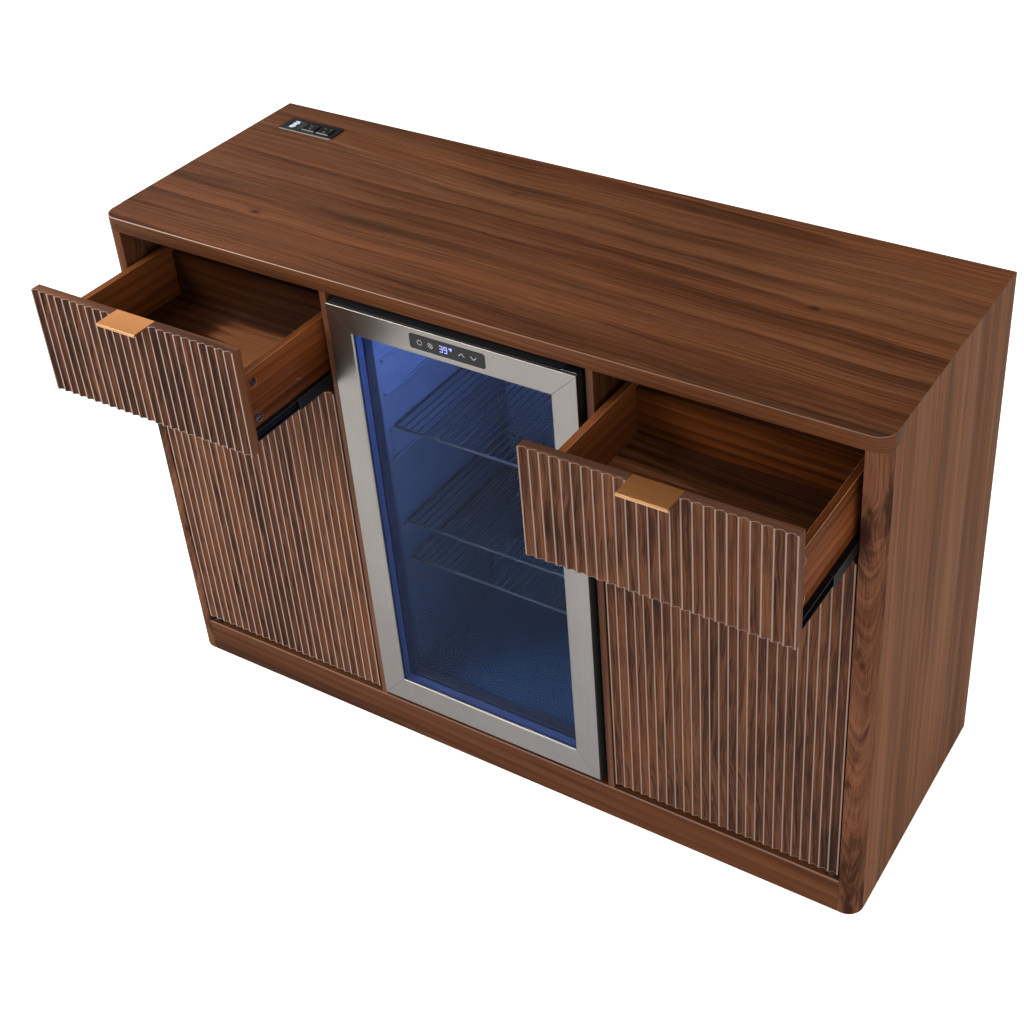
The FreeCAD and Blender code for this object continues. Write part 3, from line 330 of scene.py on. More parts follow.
def mottled(name, colour, roughness, metallic=0.0, spread=0.12, grain=900.0, relief=0.15, **shader):
    material, tree, principled = startMaterial(name, Metallic=metallic, **shader)
    point = objectPoint(tree)
    patches = noise(tree, point, 60.0, 3.0, 0.6)
    fine = noise(tree, point, grain, 2.0)
    varied = swing(tree, fine, roughness * 0.35, roughness)
    feed(tree, principled, Base_Color=twoTones(tree, patches, colour, spread), Roughness=varied)
    bump(tree, principled, fine, relief, 0.0002)
    return material


def brushed(name, colour, roughness, alongAxis, spread=0.1, relief=0.12, front=None):
    material, tree, principled = startMaterial(name, Metallic=1.0)
    axes = dict(zip("xyz", splitPoint(tree, objectPoint(tree))))
    stretched = [times(tree, axes[a], 6.0 if a == alongAxis else 1500.0) for a in "xyz"]
    lines = noise(tree, joinPoint(tree, *stretched), 1.0, 3.0, 0.6)
    clouds = noise(tree, objectPoint(tree), 9.0, 3.0, 0.5)
    value = plus(tree, times(tree, lines, 0.6), times(tree, clouds, 0.4))
    tint = twoTones(tree, value, colour, spread, 0.32, 0.68)
    # painted highlight: faces towards the front take a lighter colour
    if front:
        tint = mixColour(tree, facingFront(tree, -0.3, -0.8), tint, front)
    feed(tree, principled, Base_Color=tint, Roughness=swing(tree, lines, 0.22, roughness))
    bump(tree, principled, lines, relief, 0.0001)
    return material


def glowing(name, colour, strength):
    material, tree, principled = startMaterial(name, Base_Color=colour, Emission_Color=colour, Roughness=0.4)
    cells = noise(tree, objectPoint(tree), 240.0, 1.0)
    feed(tree, principled, Emission_Strength=timesPlus(tree, cells, strength * 0.3, strength * 0.85))
    return material


# mesh helpers

def newPiece(name, mesh, material, body, slotName, *replaced):
    piece = bpy.data.objects.new(name, mesh)
    scene.collection.objects.link(piece)
    if material is not None:
        mesh.materials.clear()
        for entry in material if isinstance(material, list) else [material]:
            mesh.materials.append(entry)
    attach(piece, body)
    if replaced:
        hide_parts(*replaced)
    return piece


def softEdges(piece, width, angle=35.0, material=-1):
    if width > 0:
        bevel = piece.modifiers.new("edges", "BEVEL")
        bevel.width = width
        bevel.segments = 2
        bevel.limit_method = "ANGLE"
        bevel.angle_limit = math.radians(angle)
        bevel.harden_normals = True
        bevel.material = material
        bevel.miter_outer = "MITER_ARC"
    shadeSmooth(piece.data, angle)


def shadeSmooth(mesh, angle):
    mesh.polygons.foreach_set("use_smooth", [True] * len(mesh.polygons))
    mesh.set_sharp_from_angle(angle=math.radians(angle))


def joinFaces(work):
    # back to whole faces from the triangles of the solids
    bmesh.ops.remove_doubles(work, verts=work.verts, dist=weldGap)
    bmesh.ops.dissolve_limit(work, angle_limit=flatAngle, verts=work.verts, edges=work.edges)


def meshOf(work, name):
    mesh = bpy.data.meshes.new(name)
    work.to_mesh(mesh)
    work.free()
    return mesh


def copyOfNode(node, name, convex=False):
    mesh = cadNodes[node].data.copy()
    mesh.name = name
    work = bmesh.new()
    work.from_mesh(mesh)
    joinFaces(work)
    if convex:
        # ribbed walls fold over in the bevel unless their faces are convex
        bmesh.ops.connect_verts_concave(work, faces=work.faces)
    work.to_mesh(mesh)
    work.free()
    for layer in list(mesh.uv_layers):
        mesh.uv_layers.remove(layer)
    return mesh


print("helpers ready")


# wood finishes; their zones are in metres of the shared frame
topForm = {"cornerX": 0.672, "cornerY": -0.217, "radius": (0.0264, 0.0271), "height": (0.9537, 0.9543)}


def topEdgeHighlight(tree, x, y, z):
    # the light line where the top's face turns over its front edge and corners: part worn pale edge, part painted
    # highlight, stronger towards the left end
    aside = calc(tree, "MAXIMUM", minus(tree, unsigned(tree, x), topForm["cornerX"]), 0.0)
    forward = calc(tree, "MAXIMUM", minus(tree, topForm["cornerY"], y), 0.0)
    reach = calc(tree, "SQRT", plus(tree, times(tree, aside, aside), times(tree, forward, forward)))
    line = times(tree, step(tree, reach, *topForm["radius"]), step(tree, z, *topForm["height"]))
    share = step(tree, forward, 0.004, 0.02, 0.35, 0.95)
    return times(tree, line, times(tree, share, step(tree, x, 0.35, -0.7, 0.26, 0.95)))


# painted highlight: a pale line along the rail's top front edge
def railEdgeHighlight(tree, x, y, z):
    line = times(tree, step(tree, z, 0.0698, 0.0706), step(tree, y, -0.2428, -0.2436))
    return times(tree, line, 0.32)


def topShade(tree, x, y, z):
    # the sheet is darker along its front edge and a little lighter at its right end behind it
    front = times(tree, step(tree, y, -0.10, -0.225), step(tree, x, -0.6, 0.1))
    rightEnd = times(tree, step(tree, x, 0.25, 0.5, 0.0, 0.09), step(tree, y, -0.17, -0.06, -0.4, 1.0))
    return timesPlus(tree, front, -0.2, rightEnd)


def fluteShade(tree, x, y, z):
    # painted shade makes the left drawer's front darker, and painted light makes the right-hand fronts a little lighter
    drawerLeft = times(tree, step(tree, y, -0.30, -0.34), step(tree, x, -0.1, -0.2))
    return timesPlus(tree, drawerLeft, -0.12, step(tree, x, -0.1, 0.4, 0.0, 0.07))


# painted shadow: the right box's back darkens towards its right end
def backShade(tree, x, y, z):
    return step(tree, x, 0.38, 0.62, 0.0, -0.16)


def floorShade(tree, x, y, z):
    # painted light and shadow: a lit patch at the front of each box, painted shadow behind it
    leftPatch = times(tree, step(tree, x, -0.545, -0.445), step(tree, y, -0.165, -0.240, -0.22, 0.60))
    leftTone = plus(tree, leftPatch, step(tree, x, -0.485, -0.535, 0.0, -0.25))
    left = times(tree, step(tree, x, 0.0, -0.05), calc(tree, "MINIMUM", leftTone, 0.6))
    right = timesPlus(tree, step(tree, y, -0.215, -0.240), 0.30, step(tree, x, 0.46, 0.28, -0.27, 0.10))
    return timesPlus(tree, step(tree, x, 0.0, 0.05), right, left)


leftBoards = [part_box("drawer_" + side + "_sides")[0].x + 0.008 for side in ("left", "right")]


def boardShade(tree, x, y, z):
    # painted light: the left board of each box is lighter
    near = [step(tree, unsigned(tree, minus(tree, x, place)), 0.012, 0.0095) for place in leftBoards]
    return times(tree, calc(tree, "MAXIMUM", *near), 0.27)


topWalnut = walnut(
    "topWalnut", "x", "z", arris=topEdgeHighlight, shade=topShade, gloss=0.08, tint=0.3,
    bandShare=0.8, streaks=95.0, streakShare=0.55, rings=17.0, ringShare=0.27, ringCalm=0.25,
    lines=290.0, lineShare=1.0, fibreShare=0.55,
    knots=[(-0.472, -0.122, 0.006, 0.8), (0.474, 0.014, 0.006, 0.7), (-0.12, 0.12, 0.004, 0.4)],
    dark=(0.033, 0.0108, 0.0043), deep=(0.068, 0.0224, 0.0078), mid=(0.111, 0.0383, 0.0140), light=(0.180, 0.068, 0.0262))
topEdgeWalnut = walnut(
    "topEdgeWalnut", "x", "y", seed=2.2, wrap="band", arris=topEdgeHighlight, gloss=0.06, warp=0.01,
    bands=30.0, streaks=260.0, lines=700.0, lineShare=0.9, rings=260.0, ringShare=0.2,
    dark=(0.040, 0.013, 0.005), deep=(0.074, 0.026, 0.010), mid=(0.112, 0.041, 0.017), light=(0.165, 0.065, 0.028))
railWalnut = walnut(
    "railWalnut", "x", "y", seed=3.1, arris=railEdgeHighlight, gloss=0.06,
    dark=(0.034, 0.011, 0.004), deep=(0.062, 0.020, 0.007), mid=(0.094, 0.032, 0.012), light=(0.134, 0.050, 0.020))
sideWalnut = walnut(
    "sideWalnut", "z", "x", seed=7.4, roughness=0.6, gloss=0.06, tint=0.4,
    warp=0.015, bands=14.0, rise=0.0, ringShare=0.06, streakShare=1.0, lineShare=0.6,
    dark=(0.080, 0.030, 0.012), deep=(0.135, 0.053, 0.023), mid=(0.190, 0.080, 0.037), light=(0.250, 0.112, 0.056))
postWalnut = walnut(
    "postWalnut", "z", "y", seed=11.9, wrap="post", roughness=0.6, gloss=0.05,
    arch=-38.0, archCentre=-0.026, archTop=0.77, rise=0.5, warp=0.125, rings=62.0, ringShare=0.08,
    bands=16.0, bandShare=0.75, streaks=90.0, streakShare=0.55, lines=230.0, lineShare=0.5, fibreShare=0.95, blotch=0.42,
    knots=[(0.79, -0.027, 0.009, 1.0), (0.83, -0.022, 0.005, 0.6), (0.55, -0.018, 0.005, 0.6), (0.30, -0.03, 0.006, 0.5)],
    dark=(0.036, 0.013, 0.008), deep=(0.090, 0.034, 0.016), mid=(0.152, 0.060, 0.030), light=(0.215, 0.092, 0.049))
innerWalnut = walnut("innerWalnut", "z", "x", seed=5.0)
boardWalnut = walnut("boardWalnut", "x", "z", seed=15.0)
backWalnut = walnut("backWalnut", "z", "y", seed=17.0, roughness=0.55)

drawerWalnut = walnut(
    "drawerWalnut", "x", "y", seed=21.0, shade=backShade, roughness=0.36, gloss=0.10,
    warp=0.04, bandShare=1.1, streakShare=0.55,
    dark=(0.030, 0.007, 0.002), deep=(0.076, 0.020, 0.005), mid=(0.136, 0.038, 0.009), light=(0.22, 0.068, 0.017))
# a much darker copy of the drawer walnut for the left box's back: painted shadow
drawerShadeWalnut = walnut(
    "drawerShadeWalnut", "x", "y", seed=25.0, roughness=0.36, gloss=0.08, warp=0.04, bandShare=1.5,
    dark=(0.008, 0.002, 0.001), deep=(0.018, 0.005, 0.002), mid=(0.033, 0.010, 0.003), light=(0.062, 0.020, 0.006))
drawerSideWalnut = walnut(
    "drawerSideWalnut", "y", "x", seed=27.0, shade=boardShade, gloss=0.05, warp=0.04, bandShare=1.5,
    dark=(0.030, 0.007, 0.002), deep=(0.070, 0.018, 0.005), mid=(0.124, 0.034, 0.009), light=(0.215, 0.066, 0.018))
# its lightest colour is the painted light of the lit patch
drawerFloorWalnut = walnut(
    "drawerFloorWalnut", "x", "z", seed=23.0, shade=floorShade, roughness=0.27, gloss=0.3, bandShare=0.7, lineShare=0.3,
    dark=(0.022, 0.007, 0.003), deep=(0.046, 0.014, 0.005), mid=(0.080, 0.026, 0.009), light=(0.33, 0.124, 0.050))

# its lands are paler, part wear and part painted highlight, and darker towards the right with painted shade
flutedWalnut = walnut(
    "flutedWalnut", "z", "y", seed=31.0, shade=fluteShade, roughness=0.45, gloss=0.09,
    along=2.6, rise=0.015, rings=40.0, ringShare=0.10, blotch=0.20, fibreShare=0.95,
    bands=7.0, bandShare=0.9, streaks=120.0, streakShare=0.95, lines=300.0, lineShare=1.15,
    flutes=0.25, land=(0.40, 0.31, 0.27), landRight=(0.27, 0.19, 0.155),
    dark=(0.026, 0.009, 0.005), deep=(0.058, 0.021, 0.010), mid=(0.104, 0.038, 0.018), light=(0.175, 0.067, 0.030))
panelFinishes = [
    flutedWalnut,
    walnut("panelBackWalnut", "z", "y", seed=35.0, gloss=0.1),
    walnut("panelEndWalnut", "z", "x", seed=36.0, gloss=0.08),
    walnut("panelTopWalnut", "x", "z", seed=37.0, gloss=0.1, bands=14.0,
           deep=(0.070, 0.026, 0.013), mid=(0.105, 0.042, 0.021)),
]
# pale edge finishes: painted highlights along the softened edges of the side panels and the drawer sides
sideEdge = walnut(
    "sideEdge", "z", "x", seed=43.0, roughness=0.42,
    dark=(0.16, 0.085, 0.05), deep=(0.22, 0.12, 0.075), mid=(0.29, 0.17, 0.11), light=(0.38, 0.24, 0.16))
warmEdgeHighlight = walnut(
    "warmEdgeHighlight", "y", "z", seed=45.0, roughness=0.4,
    dark=(0.20, 0.095, 0.04), deep=(0.30, 0.15, 0.07), mid=(0.40, 0.22, 0.11), light=(0.52, 0.31, 0.17))
print("wood ready")

# other finishes

stainlessUp = brushed("stainlessUp", (0.31, 0.295, 0.275), 0.32, "z")
stainlessAcross = brushed("stainlessAcross", (0.31, 0.295, 0.275), 0.32, "x")
coilAluminium = brushed("coilAluminium", (0.66, 0.67, 0.69), 0.35, "x")
# the pulls' faces towards the front carry a painted highlight
brassSatin = brushed("brassSatin", (0.72, 0.297, 0.098), 0.32, "x", spread=0.06, relief=0.05, front=(0.60, 0.35, 0.19))
blackSteel = mottled("blackSteel", (0.006, 0.006, 0.007), 0.45, 0.05, spread=0.2, Specular_IOR_Level=0.12)
# grey edges on the black slides: painted highlights
slideEdge = mottled("slideEdge", (0.09, 0.088, 0.085), 0.35, 0.6)
zincAndGlint = mottled("zincAndGlint", (0.55, 0.55, 0.56), 0.35, 1.0)
bronzeEdge = mottled("bronzeEdge", (0.30, 0.27, 0.25), 0.35, 1.0)
bracketBrown = mottled("bracketBrown", (0.040, 0.020, 0.012), 0.5, 0.2, Specular_IOR_Level=0.2)
rackChrome = mottled("rackChrome", (0.034, 0.040, 0.054), 0.55, 0.4, spread=0.08, Specular_IOR_Level=0.3)
blackPaint = mottled("blackPaint", (0.022, 0.022, 0.024), 0.42, spread=0.15)
blackPlastic = mottled("blackPlastic", (0.016, 0.016, 0.018), 0.38, spread=0.15)
greyPlastic = mottled("greyPlastic", (0.17, 0.17, 0.18), 0.5)
darkRubber = mottled("darkRubber", (0.022, 0.022, 0.024), 0.75, grain=1600.0, relief=0.3)
foamCream = mottled("foamCream", (0.78, 0.72, 0.52), 0.85, grain=700.0, relief=0.5)
iconPaint = mottled("iconPaint", (0.55, 0.55, 0.55), 0.5, spread=0.05)
panelBlack = mottled("panelBlack", (0.018, 0.018, 0.021), 0.22, spread=0.1, relief=0.02, Specular_IOR_Level=0.17)
lensGlow = glowing("lensGlow", (0.42, 0.56, 1.0), 90.0)
digitGlow = glowing("digitGlow", (0.40, 0.44, 1.0), 0.9)
portGlow = glowing("portGlow", (0.42, 0.50, 0.60), 0.25)


def paintedHighlightFront(name, colour, front):
    # black moulding whose faces towards the front are lighter: a painted highlight
    material, tree, principled = startMaterial(name, Roughness=0.3, Specular_IOR_Level=0.12)
    facing = facingFront(tree, -0.3, -0.75)
    fine = noise(tree, objectPoint(tree), 700.0, 2.0)
    base = twoTones(tree, fine, colour, 0.2)
    feed(tree, principled, Base_Color=mixColour(tree, facing, base, front))
    bump(tree, principled, fine, 0.1, 0.0001)
    return material


outletPlate = paintedHighlightFront("outletPlate", (0.006, 0.006, 0.007), (0.36, 0.35, 0.34))
outletFace = paintedHighlightFront("outletFace", (0.006, 0.006, 0.007), (0.30, 0.29, 0.32))

# painted shade and light: the liner darkens towards its floor, and its upper back is painted lighter and bluer; part of
# its blue stands for the blue lamp light
linerLook = {"low": (0.016, 0.042, 0.086), "middle": (0.047, 0.077, 0.142), "high": (0.105, 0.140, 0.245),
             "glow": (0.14, 0.24, 0.72)}


def linerFinish(name):
    material, tree, principled = startMaterial(name, Roughness=0.5, Specular_IOR_Level=0.15)
    point = objectPoint(tree)
    x, y, z = splitPoint(tree, point)
    moulded = noise(tree, point, 22.0, 3.0)
    value = swing(tree, moulded, 0.25, step(tree, z, 0.12, 0.88))
    colour = ramp(tree, value, [(0.0, linerLook["low"]), (0.5, linerLook["middle"]), (1.0, linerLook["high"])])
    glow = times(tree, step(tree, y, 0.07, 0.11), step(tree, z, 0.50, 0.80, 0.0, 0.75))
    feed(tree, principled, Base_Color=mixColour(tree, glow, colour, linerLook["glow"]))
    bump(tree, principled, noise(tree, point, 700.0, 2.0), 0.04, 0.0002)
    return material


linerBlue = linerFinish("linerBlue")
glassLook = {"colour": (0.86, 0.92, 1.0), "bending": 1.08}  # bends little, since the photo's panes reflect little


def doorGlass(name):
    material, tree, principled = startMaterial(
        name, Base_Color=glassLook["colour"], Roughness=0.0, IOR=glassLook["bending"], Transmission_Weight=1.0)
    smears = noise(tree, objectPoint(tree), 7.0, 3.0)
    feed(tree, principled, Roughness=times(tree, step(tree, smears, 0.5, 0.9), 0.02))
    clear = addNode(tree, "ShaderNodeBsdfTransparent", {"Color": glassLook["colour"]})
    shadow = addNode(tree, "ShaderNodeLightPath").outputs["Is Shadow Ray"]
    blend = addNode(tree, "ShaderNodeMixShader", {0: shadow, 1: principled.outputs[0], 2: clear.outputs[0]})
    tree.links.new(blend.outputs[0], tree.nodes["Material Output"].inputs["Surface"])
    return material


clearGlass = doorGlass("clearGlass")
rimForm = {"x": (0.1918, 0.1912), "low": (0.1312, 0.1318), "high": (0.8835, 0.8829), "fade": (0.10, 0.92, 0.55, 1.0)}


def paintedGlowRim(name, colour, glow, strength):
    # dark plastic whose inner rim glows faintly blue: painted light standing for the blue of the lit interior
    material, tree, principled = startMaterial(name, Roughness=0.34, Emission_Color=glow)
    point = objectPoint(tree)
    x, y, z = splitPoint(tree, point)
    fine = noise(tree, point, 500.0, 2.0)
    feed(tree, principled, Base_Color=twoTones(tree, fine, colour, 0.15))
    between = times(tree, step(tree, z, *rimForm["low"]), step(tree, z, *rimForm["high"]))
    inside = times(tree, step(tree, unsigned(tree, x), *rimForm["x"]), between)
    patches = timesPlus(tree, noise(tree, point, 14.0, 2.0), 0.7, 0.65)
    amount = times(tree, inside, step(tree, z, *rimForm["fade"]), patches)
    feed(tree, principled, Emission_Strength=times(tree, amount, strength))
    return material


doorRim = paintedGlowRim("doorRim", (0.018, 0.018, 0.020), (0.035, 0.075, 0.34), 0.10)
# the spacer's bluish colour is also painted light from the lit interior
spacerBlue = paintedGlowRim("spacerBlue", (0.028, 0.044, 0.11), (0.05, 0.10, 0.42), 0.075)
gasketBlue = paintedGlowRim("gasketBlue", (0.020, 0.020, 0.022), (0.03, 0.065, 0.33), 0.14)
print("finishes ready")


# Geometry Nodes helpers

def startGeometry(name, sizes):
    tree = bpy.data.node_groups.new(name, "GeometryNodeTree")
    kinds = {float: "NodeSocketFloat", int: "NodeSocketInt"}
    for label, value in sizes.items():
        tree.interface.new_socket(name=label, in_out="INPUT", socket_type=kinds[type(value)])
    tree.interface.new_socket(name="Finish", in_out="INPUT", socket_type="NodeSocketMaterial")
    tree.interface.new_socket(name="Geometry", in_out="OUTPUT", socket_type="NodeSocketGeometry")
    entry = tree.nodes.new("NodeGroupInput")
    leave = tree.nodes.new("NodeGroupOutput")
    return tree, {o.name: o for o in entry.outputs if o.name}, leave


def shape(tree, kind, inputs=None, **settings):
    return addNode(tree, "GeometryNode" + kind, inputs, **settings).outputs[0]


def endGeometry(tree, sockets, leave, geometry):
    real = shape(tree, "RealizeInstances", {0: geometry})
    painted = shape(tree, "SetMaterial", {"Geometry": real, "Material": sockets["Finish"]})
    tree.links.new(painted, leave.inputs["Geometry"])


def growMesh(tree, sizes, finish, name):
    carrier = bpy.data.objects.new(name + "Carrier", bpy.data.meshes.new(name + "Carrier"))
    scene.collection.objects.link(carrier)
    modifier = carrier.modifiers.new("grow", "NODES")
    modifier.node_group = tree
    for item in tree.interface.items_tree:
        if item.in_out == "INPUT":
            modifier[item.identifier] = finish if item.name == "Finish" else sizes[item.name]
    graph = bpy.context.evaluated_depsgraph_get()
    graph.update()
    source = carrier.evaluated_get(graph)
    grown = bpy.data.meshes.new_from_object(source, preserve_all_data_layers=True, depsgraph=graph)
    bpy.data.objects.remove(carrier)
    grown.name = name
    return grown


def positionParts(tree):
    return splitPoint(tree, addNode(tree, "GeometryNodeInputPosition").outputs[0])


def moved(tree, geometry, x, y, z, **selection):
    return shape(tree, "SetPosition", {"Geometry": geometry, "Position": joinPoint(tree, x, y, z), **selection})


def shifted(tree, geometry, x, y, z):
    return shape(tree, "Transform", {"Geometry": geometry, "Translation": joinPoint(tree, x, y, z)})


def stored(tree, geometry, name, value, domain):
    inputs = {"Geometry": geometry, "Name": name, "Value": value}
    return shape(tree, "StoreNamedAttribute", inputs, data_type="FLOAT", domain=domain)


def joined(tree, first, second):
    node = addNode(tree, "GeometryNodeJoinGeometry", {0: first})
    tree.links.new(second, node.inputs[0])
    return node.outputs[0]


# fluted fronts: coves between narrow lands, one strip repeated across the panel
flute = {"Land": 0.0024, "Depth": 0.0038, "Thickness": 0.018, "Chamfer": 0.0009}
fluteGrid = {"pitch": 0.0165, "columns": 12, "rows": 5, "weld": 0.00001}


def fluteStrip(tree, size, vertexColumns, width, cove):
    # one land and one cove, chamfered at both ends, or the last land alone
    columns, rows = fluteGrid["columns"], float(fluteGrid["rows"])
    cells = {"Size X": 1.0, "Size Y": 1.0, "Vertices X": vertexColumns, "Vertices Y": fluteGrid["rows"] + 1}
    grid = shape(tree, "MeshGrid", cells)
    x, y, z = positionParts(tree)
    across = plus(tree, x, 0.5)
    up = plus(tree, y, 0.5)
    marked = 1.0
    if cove:
        edgeRow = calc(tree, "GREATER_THAN", unsigned(tree, minus(tree, up, 0.5)), 0.31)
        marked = calc(tree, "MAXIMUM", calc(tree, "LESS_THAN", across, 0.9 / columns), edgeRow)
    grid = stored(tree, grid, "land", marked, "FACE")
    row = calc(tree, "ROUND", times(tree, up, rows))
    fromEdge = calc(tree, "MINIMUM", row, minus(tree, rows, row))
    reach = times(tree, calc(tree, "POWER", fromEdge, 1.15), size["Chamfer"])
    upper = calc(tree, "GREATER_THAN", row, rows / 2)
    lowPart = times(tree, reach, minus(tree, 1.0, upper))
    height = plus(tree, lowPart, times(tree, minus(tree, size["Height"], reach), upper))
    pushed = times(tree, calc(tree, "LESS_THAN", fromEdge, 0.5), size["Chamfer"])
    if not cove:
        return moved(tree, grid, times(tree, across, width), pushed, height)
    column = calc(tree, "ROUND", times(tree, across, float(columns)))
    share = calc(tree, "DIVIDE", minus(tree, column, 1.0), float(columns - 1))
    onCove = calc(tree, "GREATER_THAN", column, 0.5)
    place = times(tree, timesPlus(tree, share, minus(tree, width, size["Land"]), size["Land"]), onCove)
    turned = timesPlus(tree, share, 2.0, -1.0)
    sunk = times(tree, minus(tree, 1.0, times(tree, turned, turned)), size["Depth"], onCove)
    return moved(tree, grid, place, calc(tree, "MAXIMUM", sunk, pushed), height)


def fluteTree():
    sizes = {"Width": 0.4, "Height": 0.6, "Count": 25, **flute, "Left": 0.0, "Front": 0.0, "Low": 0.0, "Seed": 1}
    tree, size, leave = startGeometry("fluteTree", sizes)
    pitch = calc(tree, "DIVIDE", minus(tree, size["Width"], size["Land"]), size["Count"])
    one = fluteStrip(tree, size, fluteGrid["columns"] + 1, pitch, True)
    line = shape(tree, "MeshLine", {"Count": size["Count"], "Offset": joinPoint(tree, pitch, 0.0, 0.0)}, mode="OFFSET")
    copies = shape(tree, "InstanceOnPoints", {"Points": line, "Instance": one})
    chance = addNode(tree, "FunctionNodeRandomValue", {"Seed": size["Seed"]}, data_type="FLOAT").outputs[1]
    copies = stored(tree, copies, "fluteTone", chance, "INSTANCE")
    copies = shape(tree, "RealizeInstances", {0: copies})
    toneOfStrip = shape(tree, "InputNamedAttribute", {"Name": "fluteTone"}, data_type="FLOAT")
    copies = stored(tree, copies, "fluteTone", toneOfStrip, "FACE")
    last = fluteStrip(tree, size, 2, size["Land"], False)
    last = shifted(tree, last, minus(tree, size["Width"], size["Land"]), 0.0, 0.0)
    face = joined(tree, copies, last)
    face = shape(tree, "MergeByDistance", {"Geometry": face, "Distance": fluteGrid["weld"]})
    # the sides and the back: the face flipped, drawn back and laid flat
    flipped = shape(tree, "FlipFaces", {0: face})
    backwards = {"Mesh": flipped, "Offset": joinPoint(tree, 0.0, 1.0, 0.0), "Offset Scale": 0.01, "Individual": False}
    block = addNode(tree, "GeometryNodeExtrudeMesh", backwards)
    made = stored(tree, block.outputs["Mesh"], "land", 0.0, "FACE")
    made = stored(tree, made, "fluteTone", 0.5, "FACE")
    x, y, z = positionParts(tree)
    made = moved(tree, made, x, size["Thickness"], z, Selection=block.outputs["Top"])
    whole = joined(tree, made, face)
    whole = shape(tree, "MergeByDistance", {"Geometry": whole, "Distance": fluteGrid["weld"]})
    endGeometry(tree, size, leave, shifted(tree, whole, size["Left"], size["Front"], size["Low"]))
    return tree


flutes = fluteTree()


def flutedPanel(node, name, seed):
    low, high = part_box(node)
    width = high.x - low.x
    count = round((width - flute["Land"]) / fluteGrid["pitch"])
    sizes = {"Width": width, "Height": high.z - low.z, "Count": count, **flute, "Thickness": high.y - low.y,
             "Left": low.x, "Front": low.y, "Low": low.z, "Seed": seed}
    mesh = growMesh(flutes, sizes, flutedWalnut, name)
    mesh.materials.clear()
    for finish in panelFinishes:
        mesh.materials.append(finish)
    for polygon in mesh.polygons:
        facing = polygon.normal
        if facing.y > 0.9:
            polygon.material_index = 1
        elif abs(facing.x) > 0.9:
            polygon.material_index = 2
        elif abs(facing.z) > 0.9:
            polygon.material_index = 3
    return mesh


pullSeat = {"depth": 0.0025, "cut": 0.00005}


def seatForPull(mesh, low, high, top):
    # lowers the top edge where the brass pull is let in
    work = bmesh.new()
    work.from_mesh(mesh)
    cut = pullSeat["cut"]
    for place in (low - cut, low, high, high + cut):
        everything = work.verts[:] + work.edges[:] + work.faces[:]
        bmesh.ops.bisect_plane(work, geom=everything, plane_co=(place, 0, 0), plane_no=(1, 0, 0), dist=1e-7)
    for vert in work.verts:
        if low - cut / 2 < vert.co.x < high + cut / 2 and vert.co.z > top - pullSeat["depth"] * 2:
            vert.co.z -= pullSeat["depth"]
    work.to_mesh(mesh)
    work.free()


for side, doorSeed, drawerSeed in (("left", 3, 8), ("right", 5, 10)):
    door, drawer = "door_" + side, "drawer_" + side
    doorName, drawerName = "flutedDoor" + side.title(), "flutedDrawer" + side.title()
    mesh = flutedPanel(door, doorName, doorSeed)
    newPiece(doorName, mesh, None, door, slotOfNode[door], door)
    shadeSmooth(mesh, 30)
    front = drawer + "_front"
    mesh = flutedPanel(front, drawerName, drawerSeed)
    pullLow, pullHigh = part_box(drawer + "_pull")
    seatForPull(mesh, pullLow.x, pullHigh.x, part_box(front)[1].z)
    newPiece(drawerName, mesh, None, drawer, slotOfNode[front], front)
    shadeSmooth(mesh, 30)
print("fluted fronts ready")

# wire racks: one grid of wires on a rod frame, grown once for each level
rack = {"Half": 0.19, "Front": -0.18, "Back": 0.122, "Top": 0.6549, "Rod": 0.0025, "Wire": 0.0013, "Pitch": 0.014,
        "Weld": 0.0006, "Wires": 25}
rackTops = (0.6549, 0.4547, 0.375)
rodCorner = {"Radius": 0.006, "Count": 5}


def rackTree():
    tree, size, leave = startGeometry("rackTree", rack)

    def tube(path, sides, radius, **caps):
        profile = shape(tree, "CurvePrimitiveCircle", {"Resolution": sides, "Radius": radius}, mode="RADIUS")
        return shape(tree, "CurveToMesh", {"Curve": path, "Profile Curve": profile, **caps})

    inner = minus(tree, size["Half"], size["Rod"])
    front = plus(tree, size["Front"], size["Rod"])
    back = minus(tree, size["Back"], size["Rod"])
    middle = times(tree, plus(tree, back, front), 0.5)
    wireLow = minus(tree, plus(tree, size["Top"], size["Weld"]), times(tree, size["Wire"], 2.0))
    rodZ = minus(tree, wireLow, size["Rod"])
    wireZ = minus(tree, size["Top"], size["Wire"])
    outlineSizes = {"Width": times(tree, inner, 2.0), "Height": minus(tree, back, front)}
    outline = shape(tree, "CurvePrimitiveQuadrilateral", outlineSizes, mode="RECTANGLE")
    rounded = shape(tree, "FilletCurve", {"Curve": outline, **rodCorner}, mode="POLY")
    rim = shifted(tree, tube(rounded, 12, size["Rod"]), 0.0, middle, rodZ)
    ends = {"Start": joinPoint(tree, 0.0, front, wireZ), "End": joinPoint(tree, 0.0, back, wireZ)}
    wire = tube(shape(tree, "CurvePrimitiveLine", ends), 8, size["Wire"], **{"Fill Caps": True})
    firstX = times(tree, minus(tree, size["Wires"], 1.0), -0.5, size["Pitch"])
    row = {"Count": size["Wires"], "Start Location": joinPoint(tree, firstX, 0.0, 0.0),
           "Offset": joinPoint(tree, size["Pitch"], 0.0, 0.0)}
    places = shape(tree, "MeshLine", row, mode="OFFSET")
    wires = shape(tree, "InstanceOnPoints", {"Points": places, "Instance": wire})
    endGeometry(tree, size, leave, joined(tree, rim, wires))
    return tree


racks = rackTree()
combined = bmesh.new()
for level, top in enumerate(rackTops):
    grown = growMesh(racks, {**rack, "Top": top}, rackChrome, "rackLevel" + str(level))
    combined.from_mesh(grown)
    bpy.data.meshes.remove(grown)
rackMesh = meshOf(combined, "wireRacks")
newPiece("wireRacks", rackMesh, rackChrome, "cabinet", slotOfNode["wire_racks"], "wire_racks")
shadeSmooth(rackMesh, 40)
print("racks ready")

